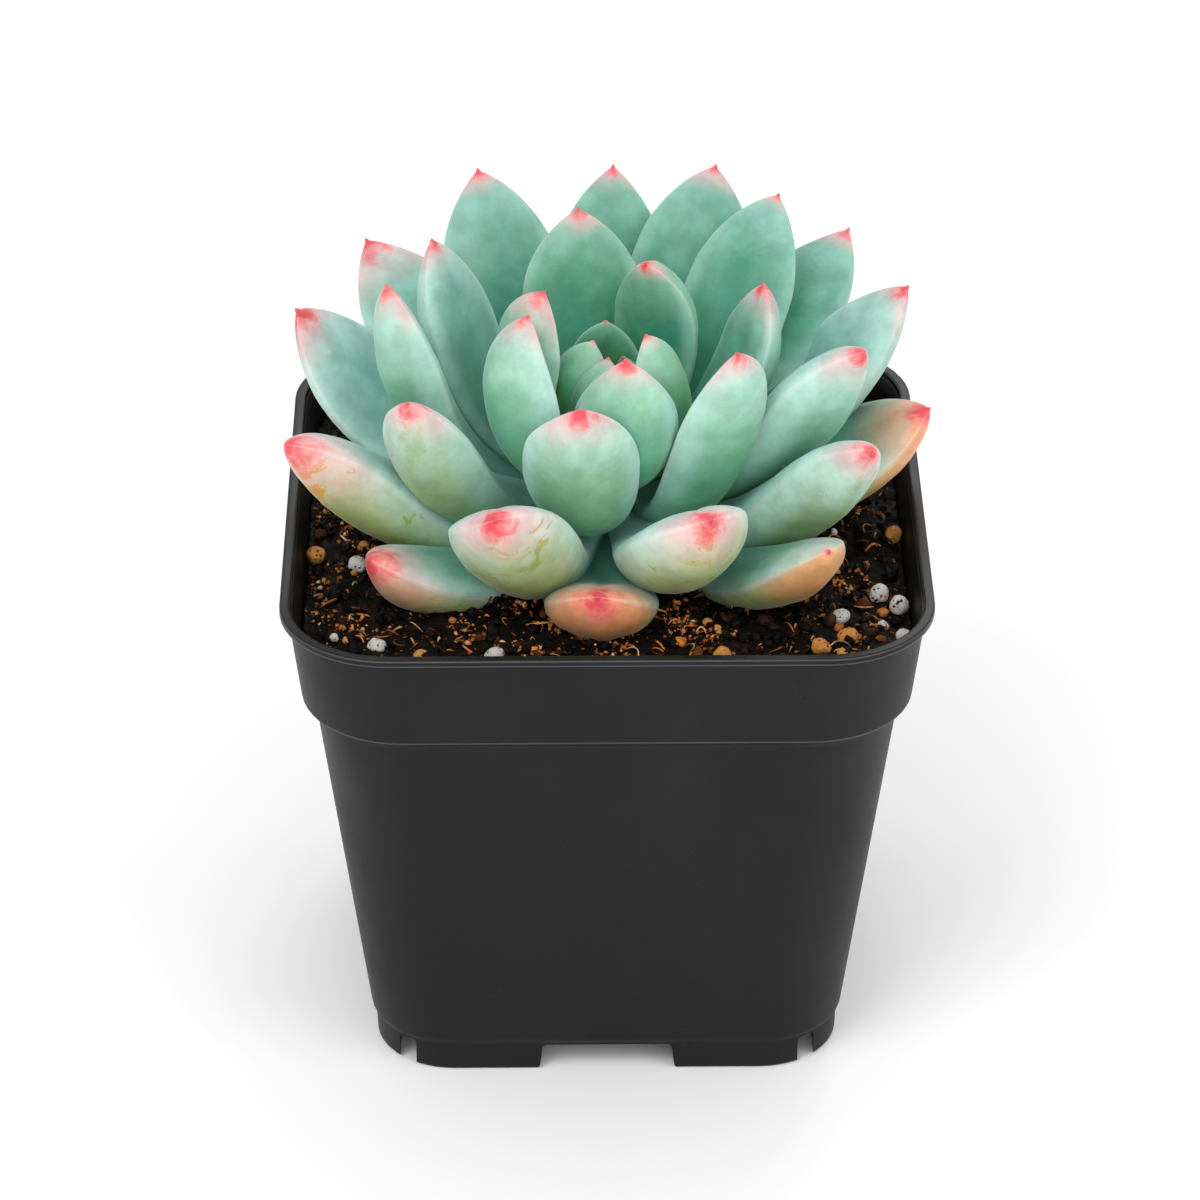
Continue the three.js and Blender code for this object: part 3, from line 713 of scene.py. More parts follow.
def fibre_parts(random, spots, lengths):
    """Thin curved strands lying on the mix: a four-sided section carried along a bent line."""
    n, steps = len(spots), 7
    t = np.linspace(-0.5, 0.5, steps)
    heading = random.uniform(0, 2 * math.pi, n)
    bend = random.uniform(-3.2, 3.2, n)
    angle = heading[:, None] + bend[:, None] * t
    step = lengths[:, None] / (steps - 1)
    x = spots[:, :1] + np.cumsum(np.cos(angle) * step, 1)
    y = spots[:, 1:] + np.cumsum(np.sin(angle) * step, 1)
    limit = SOIL_HALF_MM - 1.2
    x, y = np.clip(x, -limit, limit), np.clip(y, -limit, limit)
    arch = random.uniform(0.1, 1.1, n)[:, None] * (1 - (2 * t) ** 2)
    z = soil_height(spots[:, 0], spots[:, 1])[:, None] + 0.25 + arch
    line = np.stack([x, y, z], -1)
    side = np.stack([-np.sin(angle), np.cos(angle), 0 * angle], -1)
    lift = np.array([0, 0, 1.0])
    thick = random.uniform(0.09, 0.24, n)[:, None, None] * (1 - 0.55 * (2 * abs(t)) ** 3)[None, :, None]
    around = [side * thick, lift * thick, -side * thick, -lift * thick]
    tube = np.stack([line + offset for offset in around], 2)
    template_faces = closed_grid(tube[0])[1]
    vertices = np.concatenate(
        [tube.reshape(n, -1, 3), tube[:, 0].mean(1)[:, None], tube[:, -1].mean(1)[:, None]], 1
    )
    starts = (np.arange(n) * vertices.shape[1])[:, None, None]
    faces = [(group[None] + starts).reshape(-1, group.shape[1]) for group in template_faces]
    tone = np.repeat(random.uniform(0.45, 1.0, n), vertices.shape[1])
    return vertices.reshape(-1, 3) * MM, faces, {"tone": tone}


def mix_material(sizes, name, fibrous):
    """Crumbly dark mix. The tone attribute runs from black-brown, through bark brown, to orange and tan."""
    material, nodes, shader = new_material(name, Roughness=0.8)
    shader.inputs["Specular IOR Level"].default_value = 0.12
    grain = nodes.group(fine_grain(), Scale=1800.0, Mottle_Scale=420.0)
    tone = nodes.attribute("tone")
    dark = tuple(sizes.mix_colour)
    bark = tuple(sizes.bark_colour)
    orange = tuple(sizes.fibre_colour)
    tan = linear(240, 196, 140)
    colour = nodes.mix(nodes.between(tone, 0.1, 0.5), dark, bark)
    colour = nodes.mix(nodes.between(tone, 0.5, 0.8), colour, orange)
    colour = nodes.mix(nodes.between(tone, 0.85, 1.0), colour, tan)
    stains = nodes.between(nodes.noise(350.0, 3.0, 0.6), 0.42, 0.62)
    shade = nodes.mix(nodes.math("MULTIPLY", stains, 0.65), colour, (0.004, 0.003, 0.002))
    if not fibrous:
        hints = nodes.between(nodes.noise(900.0, 2.0, 0.5), 0.66, 0.74)
        shade = nodes.mix(nodes.math("MULTIPLY", hints, 0.5), shade, orange)
    nodes.put(shader.inputs["Base Color"], shade)
    wet = nodes.math("MULTIPLY_ADD", grain["Mottle"], 0.4, 0.42)
    nodes.put(shader.inputs["Roughness"], wet)
    nodes.put(shader.inputs["Normal"], nodes.bump(grain["Height"], 0.7, 0.0004))
    return material


class MixProperties(bpy.types.PropertyGroup):
    """Settings of the potting mix"""

    mix_colour: colour_setting("Mix", "Colour of the damp mix", 9, 6, 4)
    bark_colour: colour_setting("Bark", "Colour of bark bits", 82, 44, 22)
    fibre_colour: colour_setting("Fibres", "Colour of fibres", 222, 136, 62)
    crumbs: IntProperty(name="Crumbs", description="Number of crumbs on the mix", default=2300, min=0)
    flecks: IntProperty(name="Flecks", description="Number of small bright bits", default=4600, min=0)
    fibres: IntProperty(name="Fibres", description="Number of strands on the mix", default=760, min=0)
    chips: IntProperty(name="Chips", description="Number of bark chips on the mix", default=60, min=0)


class SUCCULENT_OT_mix(bpy.types.Operator):
    """Build the block of potting mix with its uneven surface"""

    bl_idname = "succulent.mix"
    bl_label = "Potting mix"

    def execute(self, context):
        sizes = context.scene.succulent_mix
        vertices, faces = mix_surface()
        lumps = rough_noise(vertices / (3 * MM), 2, 41)
        tone = np.clip(0.08 + 0.16 * lumps, 0, 1)
        piece = make_mesh("mix_block", vertices, faces, {"tone": tone})
        finish_piece(piece, mix_material(sizes, "Potting mix", False), "potting_mix", "potting_mix")
        return {"FINISHED"}


class SUCCULENT_OT_crumbs(bpy.types.Operator):
    """Scatter crumbs, bark chips, bright flecks and fibres over the mix"""

    bl_idname = "succulent.crumbs"
    bl_label = "Crumbs and fibres"

    def execute(self, context):
        sizes = context.scene.succulent_mix
        random = np.random.default_rng(7)
        material = mix_material(sizes, "Mix crumbs", True)
        balls = [ball_template(random, 5, 6, 0.45) for _ in range(6)]
        spots = scatter_spots(random, sizes.crumbs, 1.4)
        size = 0.6 + 2.0 * random.random(len(spots)) ** 2.6
        tone = np.clip(random.random(len(spots)) ** 4 * 0.75, 0, 1)
        crumbs = scattered(random, balls, spots, size, (0.5, 1.0), 0.35, tone)
        finish_piece(make_mesh("mix_crumbs", *crumbs), material, "potting_mix")
        bits = [ball_template(random, 3, 5, 0.5) for _ in range(5)]
        patches = scatter_spots(random, sizes.flecks * 4, 0.9)
        cluster = rough_noise(np.c_[patches / 5.5, np.zeros(len(patches))], 2, 77)
        spots = patches[cluster > 0.12][: sizes.flecks]
        size = 0.28 + 1.0 * random.random(len(spots)) ** 2.5
        flecks = scattered(random, bits, spots, size, (0.35, 0.8), 0.8, random.uniform(0.5, 1.0, len(spots)))
        finish_piece(make_mesh("mix_flecks", *flecks), material, "potting_mix")
        slabs = [ball_template(random, 7, 9, 0.35) for _ in range(5)]
        spots = scatter_spots(random, sizes.chips, 3.2)
        size = 1.8 + 2.2 * random.random(len(spots)) ** 1.6
        chips = scattered(
            random, slabs, spots, size, (0.28, 0.5), 0.12, random.uniform(0.05, 0.32, len(spots))
        )
        finish_piece(make_mesh("bark_chips", *chips), material, "potting_mix")
        spots = scatter_spots(random, sizes.fibres, 2.5)
        lengths = 0.9 + 3.4 * random.random(len(spots)) ** 2.5
        finish_piece(make_mesh("mix_fibres", *fibre_parts(random, spots, lengths)), material, "potting_mix")
        return {"FINISHED"}


# ---------------------------------------------------------------- loose grains


def grain_surface(random, size, rows=40, sides=56):
    """One porous pebble about size across, centred on nothing: a ball with lumps, facets and open pits.

    Radius = 1 + broad lumps - pits, where a pit is a smooth dent round each of a few random directions.
    """
    tilt = np.linspace(0.03, math.pi - 0.03, rows)[::-1]
    turn = np.linspace(0, 2 * math.pi, sides + 1)[:-1]
    way = np.stack(
        [
            np.sin(tilt)[:, None] * np.cos(turn),
            np.sin(tilt)[:, None] * np.sin(turn),
            np.cos(tilt)[:, None] + 0 * turn,
        ],
        -1,
    )
    shift = random.uniform(0, 90, 3)
    radius = 1 + 0.16 * lattice_noise(way * 1.3 + shift, 2) + 0.05 * rough_noise(way * 4 + shift, 3, 8)
    pits = random.normal(size=(16, 3))
    pits /= np.linalg.norm(pits, axis=1)[:, None]
    width = random.uniform(0.08, 0.24, 16)
    angle = np.arccos(np.clip(way @ pits.T, -1, 1))
    dents = np.maximum(1 - angle / width, 0) ** 0.7 * np.minimum(width * 1.1, 0.2)
    dent = dents.max(-1)
    stretch = random.uniform(0.88, 1.08, 3) * (1, 1, 0.9)
    points = way * (radius - dent)[..., None] * stretch * size / 2
    spin = rotations(random.uniform(-0.6, 0.6, (1, 3)))[0]
    vertices, faces = closed_grid(points @ spin.T)
    depth = np.concatenate([dent.ravel() / 0.2, [0, 0]])
    return vertices, faces, depth


def porous_material(name, colour, stain, pit_colour):
    """A dull porous grain: pale or ochre skin with stains, darker in its pits."""
    material, nodes, shader = new_material(name, Roughness=0.85)
    shader.inputs["Specular IOR Level"].default_value = 0.25
    skin = nodes.group(porous_skin(), Pit_Scale=1700.0, Pit_Share=0.6)
    grain = nodes.group(fine_grain(), Scale=4000.0, Mottle_Scale=500.0)
    mixed = nodes.mix(nodes.math("MULTIPLY", grain["Mottle"], 0.5), colour, stain)
    mixed = nodes.mix(nodes.math("MULTIPLY", skin["Pits"], 0.7), mixed, pit_colour)
    mixed = nodes.mix(nodes.between(nodes.attribute("pit"), 0.15, 0.6), mixed, pit_colour)
    nodes.put(shader.inputs["Base Color"], mixed)
    rough = nodes.math("MULTIPLY_ADD", grain["Mottle"], 0.12, 0.8)
    nodes.put(shader.inputs["Roughness"], rough)
    nodes.put(shader.inputs["Normal"], nodes.bump(skin["Height"], 0.6, 0.00025))
    return material


class GrainProperties(bpy.types.PropertyGroup):
    """Settings of the loose grains"""

    perlite_colour: colour_setting("Perlite", "Colour of pale grains", 206, 205, 200)
    pumice_colour: colour_setting("Pumice", "Colour of ochre grains", 205, 143, 72)
    small: IntProperty(name="Small grains", description="Number of small extra grains", default=26, min=0)


class SUCCULENT_OT_grains(bpy.types.Operator):
    """Build the loose perlite and pumice grains that lie on the mix"""

    bl_idname = "succulent.grains"
    bl_label = "Loose grains"

    def execute(self, context):
        sizes = context.scene.succulent_grains
        random = np.random.default_rng(21)
        pale = tuple(sizes.perlite_colour)
        ochre = tuple(sizes.pumice_colour)
        dark_pit_colour = linear(38, 27, 20)
        finishes = {
            "perlite": porous_material("Perlite", pale, linear(170, 166, 158), dark_pit_colour),
            "pumice": porous_material("Pumice", ochre, linear(150, 92, 40), linear(82, 44, 18)),
        }
        for node in sorted(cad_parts):
            kind = node.split("_")[0]
            if kind not in finishes:
                continue
            low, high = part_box(node)
            middle = (low + high) / 2
            vertices, faces, pit = grain_surface(random, (high.x - low.x) * 1.08)
            place = np.array(middle) - (0, 0, 0.35 * (high.z - low.z))
            piece = make_mesh(node + "_grain", vertices + place, faces, {"pit": pit})
            finish_piece(piece, finishes[kind], kind, node)
        for kind, finish in finishes.items():
            spots = scatter_spots(random, sizes.small // 2, 2.0)
            parts = []
            for x, y in spots:
                size = random.uniform(0.9, 1.9)
                vertices, faces, pit = grain_surface(random, size * MM, 14, 18)
                z = soil_height(np.array(x), np.array(y)) + 0.3 * size
                parts.append((vertices + np.array([x, y, z]) * MM, faces, {"pit": pit}))
            finish_piece(make_mesh(kind + "_small_grains", *joined(parts)), finish, kind)
        return {"FINISHED"}


# ---------------------------------------------------------------- stem and leaves

LOWEST_LEAF_MM = 2.5
CROWN_HEIGHT_MM = 16
CROWN_CROWDING = 1.6
STEM_RADIUS_MM = 5.7
STEM_TIP_RADIUS_MM = 1.2
CROWN_FOOT_MM = SOIL_TOP_MM + LOWEST_LEAF_MM
WIDEST_AT = 0.6
SHOULDER_AT = 0.55
BLADE_END = 0.99
FOOT_WIDTH_SHARE = 0.34
FOOT_THICKNESS_SHARE = 0.55
FACE_SHARE = 0.36
YOUNG_CUP = 0.3
OLD_CUP = 0.0
POINT_RADIUS_MM = 0.35

# The leaves from the youngest to the oldest. Each row: direction round the stem in degrees, reach of the
# tip from the stem's axis, height of the tip above the soil, width, thickness, slope in degrees where
# the leaf leaves the stem, slope at its tip, sway of the foot round the stem, and roll. Then the looks:
# blush of the tip, warmth of the belly from green to olive and orange, and bloom of pale powder.
LEAVES = [
    (200, 1.5, 29.0, 4, 2, 70, 95, 0, 0, 0.1, 0, 0.2),
    (31, 2.0, 31.5, 6, 3, 60, 105, 0, 0, 0.2, 0, 0.3),
    (-60, 3.0, 31.0, 6, 2.5, 60, 112, 0, 0, 0.2, 0, 0.3),
    (-133, 4.0, 36.5, 11.5, 5.5, 2, 125, -15, 5, 0.2, 0, 0.4),
    (99, 5.5, 35.5, 11.5, 4, 20, 96, 1, -12, 0.1, 0.1, 0.1),
    (-94, 7.5, 36.0, 9.5, 5, -8, 122, -33, -11, 0.3, 0, 0.5),
    (-48, 7.5, 39.0, 13, 5, -5, 114, 23, 10, 0.4, 0, 0.6),
    (-83, 16.5, 40.5, 16, 6.5, 14, 99, 0, -15, 0.7, 0, 0.6),
    (-166, 10.5, 45.0, 15, 6.5, 19, 114, -12, 32, 0.9, 0.1, 0.5),
    (58, 10.0, 44.0, 14.5, 7.5, 28, 120, -4, 2, 0.5, 0, 0.2),
    (-136, 17.5, 46.0, 17.5, 7, 20, 111, -4, -14, 0.8, 0, 0.8),
    (-44, 26.0, 42.5, 17, 7, -62, 77, 21, -15, 0.8, 0, 0.8),
    (103, 22.5, 47.0, 19.5, 8, 31, 80, 1, -3, 0.6, 0.1, 0.3),
    (11, 24.0, 42.5, 13.5, 7, 23, 85, 4, 18, 0.8, 0.1, 0.5),
    (-100, 29.0, 38.5, 18, 7, -7, 54, -9, 14, 1.0, 0.2, 0.9),
    (156, 30.5, 46.5, 17.5, 7.5, 1, 74, -2, -5, 0.7, 0, 0.7),
    (-169, 35.0, 48.5, 13.5, 8.5, -18, 75, -24, 35, 0.9, 0.1, 0.8),
    (-143, 39.0, 37.0, 15.5, 10, -12, 57, -32, 38, 1.0, 0.35, 0.9),
    (-14, 40.0, 38.0, 19.5, 11.5, 3, 36, 29, -30, 0.9, 0.1, 0.8),
    (54, 46.5, 41.5, 17.5, 7.5, 6, 28, -7, 25, 0.6, 0, 0.35),
    (69, 48.5, 43.0, 20, 7.5, 13, 35, -3, 20, 0.7, 0, 0.35),
    (115, 50.0, 42.5, 20.5, 7.5, -1, 44, 5, -20, 0.7, 0, 0.4),
    (89, 46.5, 42.5, 19, 7, 25, 59, 3, 1, 0.6, 0, 0.3),
    (-70, 42.0, 25.5, 19.5, 11, -7, 33, 5, 3, 1.2, 0.55, 1),
    (-114, 44.0, 26.0, 19.5, 11, -21, 29, -16, 28, 1.3, 0.5, 1),
    (-33, 47.0, 29.5, 15, 11, -22, 32, 33, -38, 1.0, 0.35, 1),
    (21, 50.5, 35.0, 18, 9, -6, 55, 18, 4, 0.8, 0.1, 0.8),
    (46, 56.0, 34.0, 18.5, 8, 35, 38, 0, 9, 0.7, 0.1, 0.3),
    (161, 52.5, 32.0, 22, 8, -6, 61, -15, -5, 1.2, 0.3, 0.9),
    (135, 55.5, 33.0, 19.5, 8, 24, 38, 2, -26, 1.3, 0.1, 0.7),
    (94, 50.0, 22.0, 20, 8, 5, 45, 0, 0, 1, 0.3, 0.8),
    (-158, 54.0, 28.0, 19, 11.5, -24, 27, -27, 27, 1.8, 0.6, 0.9),
    (6, 50.5, 20.0, 20, 10, 0, 45, 18, 5, 1.2, 1.0, 0.6),
    (66, 46.0, 13.5, 19, 8.5, -8, 38, 0, 0, 1.3, 0.6, 0.8),
    (121, 47.0, 13.0, 19, 8.5, -10, 38, 0, 0, 1.4, 0.7, 0.8),
    (-144, 46.5, 12.0, 16.5, 9.5, -20, 33, -5, 0, 1.6, 0.75, 0.8),
    (-48, 48.5, 18.0, 16.5, 8.5, -24, 36, 20, -2, 0.35, 0.85, 0.7),
    (-94, 37.5, 11.0, 17.5, 9, -24, 39, 0, 0, 1.35, 1.0, 0.7),
]
SPINE_PULLS = (0.42, 0.36)  # of the chord, from the foot and from the tip to the curve's handles
GROOVE_SHARE = 0.05  # of the thickness
GROOVE_WIDTH = 0.16  # of the half width
KEEL_SHARE = 0.09
KEEL_WIDTH = 0.28
UNEVEN_MM = 0.28
UNEVEN_SIZE_MM = 7.5


def stem_radius(z):
    """The stem's radius in millimetres at a height in millimetres: straight, then tapering up the crown."""
    rise = np.clip((z - CROWN_FOOT_MM) / CROWN_HEIGHT_MM, 0, 1)
    return lerp(STEM_RADIUS_MM, STEM_TIP_RADIUS_MM, rise)


def bezier(corners, s):
    """Points and directions on a cubic curve with four corners, at shares s of its way."""
    p, q = corners, s[:, None]
    place = (1 - q) ** 3 * p[0] + 3 * (1 - q) ** 2 * q * p[1] + 3 * (1 - q) * q * q * p[2] + q**3 * p[3]
    way = (1 - q) ** 2 * (p[1] - p[0]) + 2 * (1 - q) * q * (p[2] - p[1]) + q * q * (p[3] - p[2])
    return place, way / np.linalg.norm(way, axis=1)[:, None]


def unit(vectors):
    """Vectors scaled to a length of one."""
    return vectors / np.linalg.norm(vectors, axis=-1)[..., None]


def blade_shares(s):
    """Half width and thickness of a blade, as shares of their greatest, at shares s of its length.

    Both swell from the foot along a sine, and close to the point along a rounded power curve.
    """
    swell = lerp(FOOT_WIDTH_SHARE, 1, np.sin(math.pi / 2 * np.minimum(s / WIDEST_AT, 1)) ** 1.1)
    t = np.clip((s - WIDEST_AT) / (BLADE_END - WIDEST_AT), 0, 1)
    width = np.where(s < WIDEST_AT, swell, (1 - t**2.5) ** 0.86)
    swell = lerp(FOOT_THICKNESS_SHARE, 1, np.sin(math.pi / 2 * np.minimum(s / SHOULDER_AT, 1)))
    t = np.clip((s - SHOULDER_AT) / (BLADE_END - SHOULDER_AT), 0, 1)
    thickness = np.where(s < SHOULDER_AT, swell, (1 - t**2.7) ** 0.74)
    return width, thickness


def leaf_surface(row, age, seed, rows=84, sides=56):
    """Points (rows, sides, 3) of one leaf in metres, with its shares along and across.

    The spine is a cubic curve in the upright plane through the stem. At each share of its length the
    section is a lens: half width times the cosine of a turn, and a face and a back that rise with the
    sine. The face is hollowed in young leaves and has a shallow groove, the back has a low keel, and
    a smooth noise makes the skin slightly uneven.
    """
    direction, reach, tip_height, width, thickness, foot_slope, tip_slope, sway, roll = row[:9]
    blade = rows - 16
    s = np.concatenate([np.linspace(0, 0.93, blade), np.linspace(0.93, 0.999, 17)[1:]])
    foot_z = CROWN_FOOT_MM + CROWN_HEIGHT_MM * (1 - age) ** CROWN_CROWDING
    foot = np.array([stem_radius(foot_z), foot_z])
    tip = np.array([reach, SOIL_TOP_MM + tip_height])
    chord = np.linalg.norm(tip - foot)

    def along(degrees, length):
        return length * np.array([math.cos(math.radians(degrees)), math.sin(math.radians(degrees))])

    first, last = (pull * chord for pull in SPINE_PULLS)
    corners = [foot, foot + along(foot_slope, first), tip - along(tip_slope, last), tip]
    side, _ = bezier(corners, s)
    angle = np.radians(direction + sway * (1 - s))
    outward = np.stack([np.cos(angle), np.sin(angle), 0 * angle], -1)
    spine = side[:, :1] * outward + side[:, 1:] * np.array([0, 0, 1.0])
    spine += np.array([ROSETTE_X, ROSETTE_Y, 0]) / MM
    forward = unit(np.gradient(spine, s, axis=0))
    across = np.stack([-np.sin(angle), np.cos(angle), 0 * angle], -1)
    across = unit(across - (across * forward).sum(1)[:, None] * forward)
    up = np.cross(forward, across)
    twist = np.radians(roll) * s[:, None]
    across, up = across * np.cos(twist) + up * np.sin(twist), up * np.cos(twist) - across * np.sin(twist)

    width_share, thickness_share = blade_shares(s)
    thin = np.clip((1 - s) / (1 - BLADE_END), 0, 1) ** 1.3
    point = POINT_RADIUS_MM * np.minimum(thin, 1)
    half = np.maximum(width / 2 * width_share, point)[:, None]
    depth = np.maximum(thickness * thickness_share, 2 * point)[:, None]
    cup = lerp(YOUNG_CUP, OLD_CUP, age)
    hollow = cup * half * np.minimum(1, 4 * (1 - s))[:, None]
    even = np.linspace(0, 2 * math.pi, sides + 1)[:-1]
    turn = even - 0.3 * np.sin(2 * even)
    c, sn = np.cos(turn)[None], np.sin(turn)[None]
    body = smoothstep(0.15, 0.5, s)[:, None] * smoothstep(1.0, 0.8, s)[:, None]
    groove = GROOVE_SHARE * depth * np.exp(-((c / GROOVE_WIDTH) ** 2)) * body
    keel_here = smoothstep(0.3, 0.95, s)[:, None] * smoothstep(1.0, 0.96, s)[:, None]
    keel = KEEL_SHARE * depth * np.exp(-(np.abs(c) / KEEL_WIDTH) ** 1.5) * keel_here
    face = FACE_SHARE * depth * np.abs(sn) ** 1.25 - groove
    back = (1 - FACE_SHARE) * depth * np.abs(sn) + keel
    lift = np.where(sn > 0, face, -back) + hollow * (c * c - 0.35)
    points = spine[:, None] + (half * c)[..., None] * across[:, None] + lift[..., None] * up[:, None]
    normal = unit((depth * c)[..., None] * across[:, None] + (half * sn)[..., None] * up[:, None])
    fade = np.minimum(1, 12 * (1 - s))[:, None]
    uneven = rough_noise(points / UNEVEN_SIZE_MM, 3, seed) * UNEVEN_MM * fade * width_share[:, None]
    points = points + normal * uneven[..., None]
    return points * MM, s, turn


def leaf_material(sizes):
    """Fleshy leaf skin under a pale powdery bloom.

    along runs from the foot, 0, to the point, 1. across runs from one margin, -1, to the other, 1. side
    is 1 on the face and -1 on the back. point is the distance from the sharp point in millimetres.
    """
    material, nodes, shader = new_material("Leaf skin", Roughness=0.55)
    values = {
        "Subsurface Weight": 0.18,
        "Subsurface Scale": 0.003,
        "Specular IOR Level": 0.25,
        "Sheen Weight": 0.2,
    }
    for key, value in values.items():
        shader.inputs[key].default_value = value
    shader.inputs["Subsurface Radius"].default_value = (0.6, 1.0, 0.45)
    shader.inputs["Sheen Roughness"].default_value = 0.3

    along, across = nodes.attribute("along"), nodes.attribute("across")
    side, blush = nodes.attribute("side"), nodes.attribute("blush")
    warmth, bloom = nodes.attribute("warmth"), nodes.attribute("bloom")
    age, point = nodes.attribute("age"), nodes.attribute("point")
    off_middle = nodes.math("ABSOLUTE", across)
    back = nodes.between(side, 0.4, -0.4)
    blotches = nodes.noise(420.0, 5.0, 0.62, 0.6)
    clouds = nodes.noise(110.0, 4.0, 0.6, 0.3)
    grain = nodes.group(fine_grain(), Scale=2600.0, Mottle_Scale=260.0)

    # Green flesh: deep on the face and paler on the back, darker at the foot as painted shade where the leaf
    # bases crowd together
    middle = nodes.mix(back, tuple(sizes.face_colour), tuple(sizes.back_colour))
    flesh = nodes.mix(nodes.between(along, 0.04, 0.42), tuple(sizes.foot_shade_colour), middle)
    brushed = nodes.noise(60.0, 3.0, 0.6, 0.8, offset=(0.9, 0.2, 0.4))
    young = nodes.between(age, 0.42, 0.1)
    moss = nodes.math(
        "MULTIPLY", nodes.between(brushed, 0.3, 0.6), nodes.math("MULTIPLY_ADD", young, 0.6, 0.1)
    )
    flesh = nodes.mix(moss, flesh, tuple(sizes.young_colour))

    # Blue-mint faces under a heavy bloom
    heavy = nodes.math("MULTIPLY", nodes.math("SUBTRACT", 1.0, back), nodes.math("POWER", bloom, 3.0))
    flesh = nodes.mix(nodes.math("MULTIPLY", heavy, 0.8), flesh, linear(150, 204, 202))

    # Belly of older leaves: olive cream, then tan
    tan_share = nodes.math("MULTIPLY", warmth, nodes.between(along, 0.45, 0.95))
    tan_share = nodes.math("ADD", tan_share, nodes.math("MULTIPLY_ADD", clouds, 0.6, -0.3))
    belly = nodes.mix(
        nodes.between(tan_share, 0.3, 0.75), tuple(sizes.olive_colour), tuple(sizes.tan_colour)
    )
    reach = nodes.math("MULTIPLY", back, nodes.between(along, 0.15, 0.55))
    flesh = nodes.mix(nodes.math("MULTIPLY", reach, nodes.between(warmth, 0.0, 0.6)), flesh, belly)
    hot = nodes.math("MULTIPLY", nodes.between(warmth, 0.75, 1.0), nodes.between(point, 17.0, 3.0))
    flesh = nodes.mix(nodes.math("MULTIPLY", hot, 0.85), flesh, linear(236, 142, 84))

    # Pale powder, thickest towards the tip and the margins, rubbed off in patches
    powder = nodes.math("MULTIPLY", bloom, nodes.between(along, 0.25, 1.0))
    cover = nodes.math("MULTIPLY_ADD", clouds, 0.3, nodes.math("MULTIPLY_ADD", off_middle, 0.35, 0.1))
    powder = nodes.math("MULTIPLY", powder, nodes.between(cover, 0.0, 0.8))
    worn = nodes.noise(150.0, 5.0, 0.7, 1.0, offset=(0.3, 0.1, 0.7))
    wear_and_painted_highlight = nodes.between(nodes.math("SUBTRACT", worn, nodes.math("MULTIPLY", off_middle, 0.12)), 0.5, 0.53)
    rub_here = nodes.math("MULTIPLY", nodes.between(warmth, 0.2, 0.55), back)
    kept = nodes.math("SUBTRACT", 1.0, nodes.math("MULTIPLY", wear_and_painted_highlight, rub_here))
    powder = nodes.math("MULTIPLY", powder, kept)
    powder = nodes.math(
        "MULTIPLY", powder, nodes.math("MULTIPLY_ADD", nodes.between(warmth, 0.5, 0.9), -0.8, 1.0)
    )
    skin = nodes.mix(nodes.math("MULTIPLY", powder, 0.68, clamp=True), flesh, tuple(sizes.bloom_colour))

    # Mint frost towards the margins and down from the tip
    rim = nodes.math("MULTIPLY_ADD", clouds, 0.25, off_middle)
    rim = nodes.between(rim, 0.72, 1.13)
    frost = nodes.math(
        "MAXIMUM", rim, nodes.between(nodes.math("MULTIPLY_ADD", clouds, 0.4, along), 0.85, 1.2)
    )
    frost = nodes.math("MULTIPLY", frost, nodes.between(along, 0.1, 0.5))
    warm_back = nodes.math("MULTIPLY", back, nodes.between(warmth, 0.3, 0.9))
    frost = nodes.math("MULTIPLY", frost, nodes.math("MULTIPLY_ADD", warm_back, -0.75, 1.0))
    frost = nodes.math(
        "MULTIPLY", frost, nodes.math("MULTIPLY", kept, nodes.math("MULTIPLY_ADD", bloom, 0.7, 0.3))
    )
    skin = nodes.mix(nodes.math("MULTIPLY", frost, 0.64), skin, tuple(sizes.frost_colour))

    # Lilac-pink flush round the tip and down the margins
    ratio = nodes.math("DIVIDE", point, nodes.math("MULTIPLY", blush, 7.5))
    ratio = nodes.math("SUBTRACT", ratio, nodes.math("MULTIPLY", nodes.math("POWER", off_middle, 4.0), 0.35))
    ratio = nodes.math("ADD", ratio, nodes.math("MULTIPLY_ADD", clouds, 1.2, -0.6))
    flush = nodes.between(ratio, 1.2, 0.1)
    flush = nodes.math("MULTIPLY", flush, nodes.math("MULTIPLY_ADD", warm_back, -0.35, 0.7))
    blushed = nodes.mix(nodes.between(warmth, 0.7, 0.95), tuple(sizes.flush_colour), linear(238, 152, 108))
    skin = nodes.mix(flush, skin, blushed)

    # Coral cap with a blotchy edge, and the red point inside it
    ratio = nodes.math("DIVIDE", point, nodes.math("MULTIPLY", blush, 2.7))
    ratio = nodes.math("ADD", ratio, nodes.math("MULTIPLY_ADD", blotches, 3.0, -1.5))
    ratio = nodes.math("ADD", ratio, nodes.math("MULTIPLY", off_middle, 0.25))
    skin = nodes.mix(
        nodes.math("MULTIPLY", nodes.between(ratio, 1.7, 0.8), 0.75),
        skin,
        tuple(sizes.coral_colour),
    )
    skin = nodes.mix(
        nodes.math("MULTIPLY", nodes.between(ratio, 1.05, 0.35), 0.85),
        skin,
        tuple(sizes.tip_colour),
    )

    # Thin pale margin line
    margin = nodes.between(off_middle, 0.985, 0.998)
    margin = nodes.math("MULTIPLY", margin, nodes.between(along, 0.25, 0.6))
    skin = nodes.mix(nodes.math("MULTIPLY", margin, 0.22), skin, linear(225, 228, 220))

    # Fine brushed mottle
    fleck = nodes.math("MULTIPLY_ADD", grain["Mottle"], 0.22, 0.89)
    tint = nodes.add("ShaderNodeCombineColor")
    for socket in tint.inputs:
        nodes.put(socket, fleck)
    skin = nodes.mix(1.0, skin, tint.outputs[0], "MULTIPLY")
    nodes.put(shader.inputs["Base Color"], skin)
    rough = nodes.math("MULTIPLY_ADD", powder, 0.25, 0.45)
    nodes.put(shader.inputs["Roughness"], rough)
    height = nodes.math("MULTIPLY_ADD", blotches, 0.6, grain["Height"])
    nodes.put(shader.inputs["Normal"], nodes.bump(height, 0.18, 0.00015))
    return material


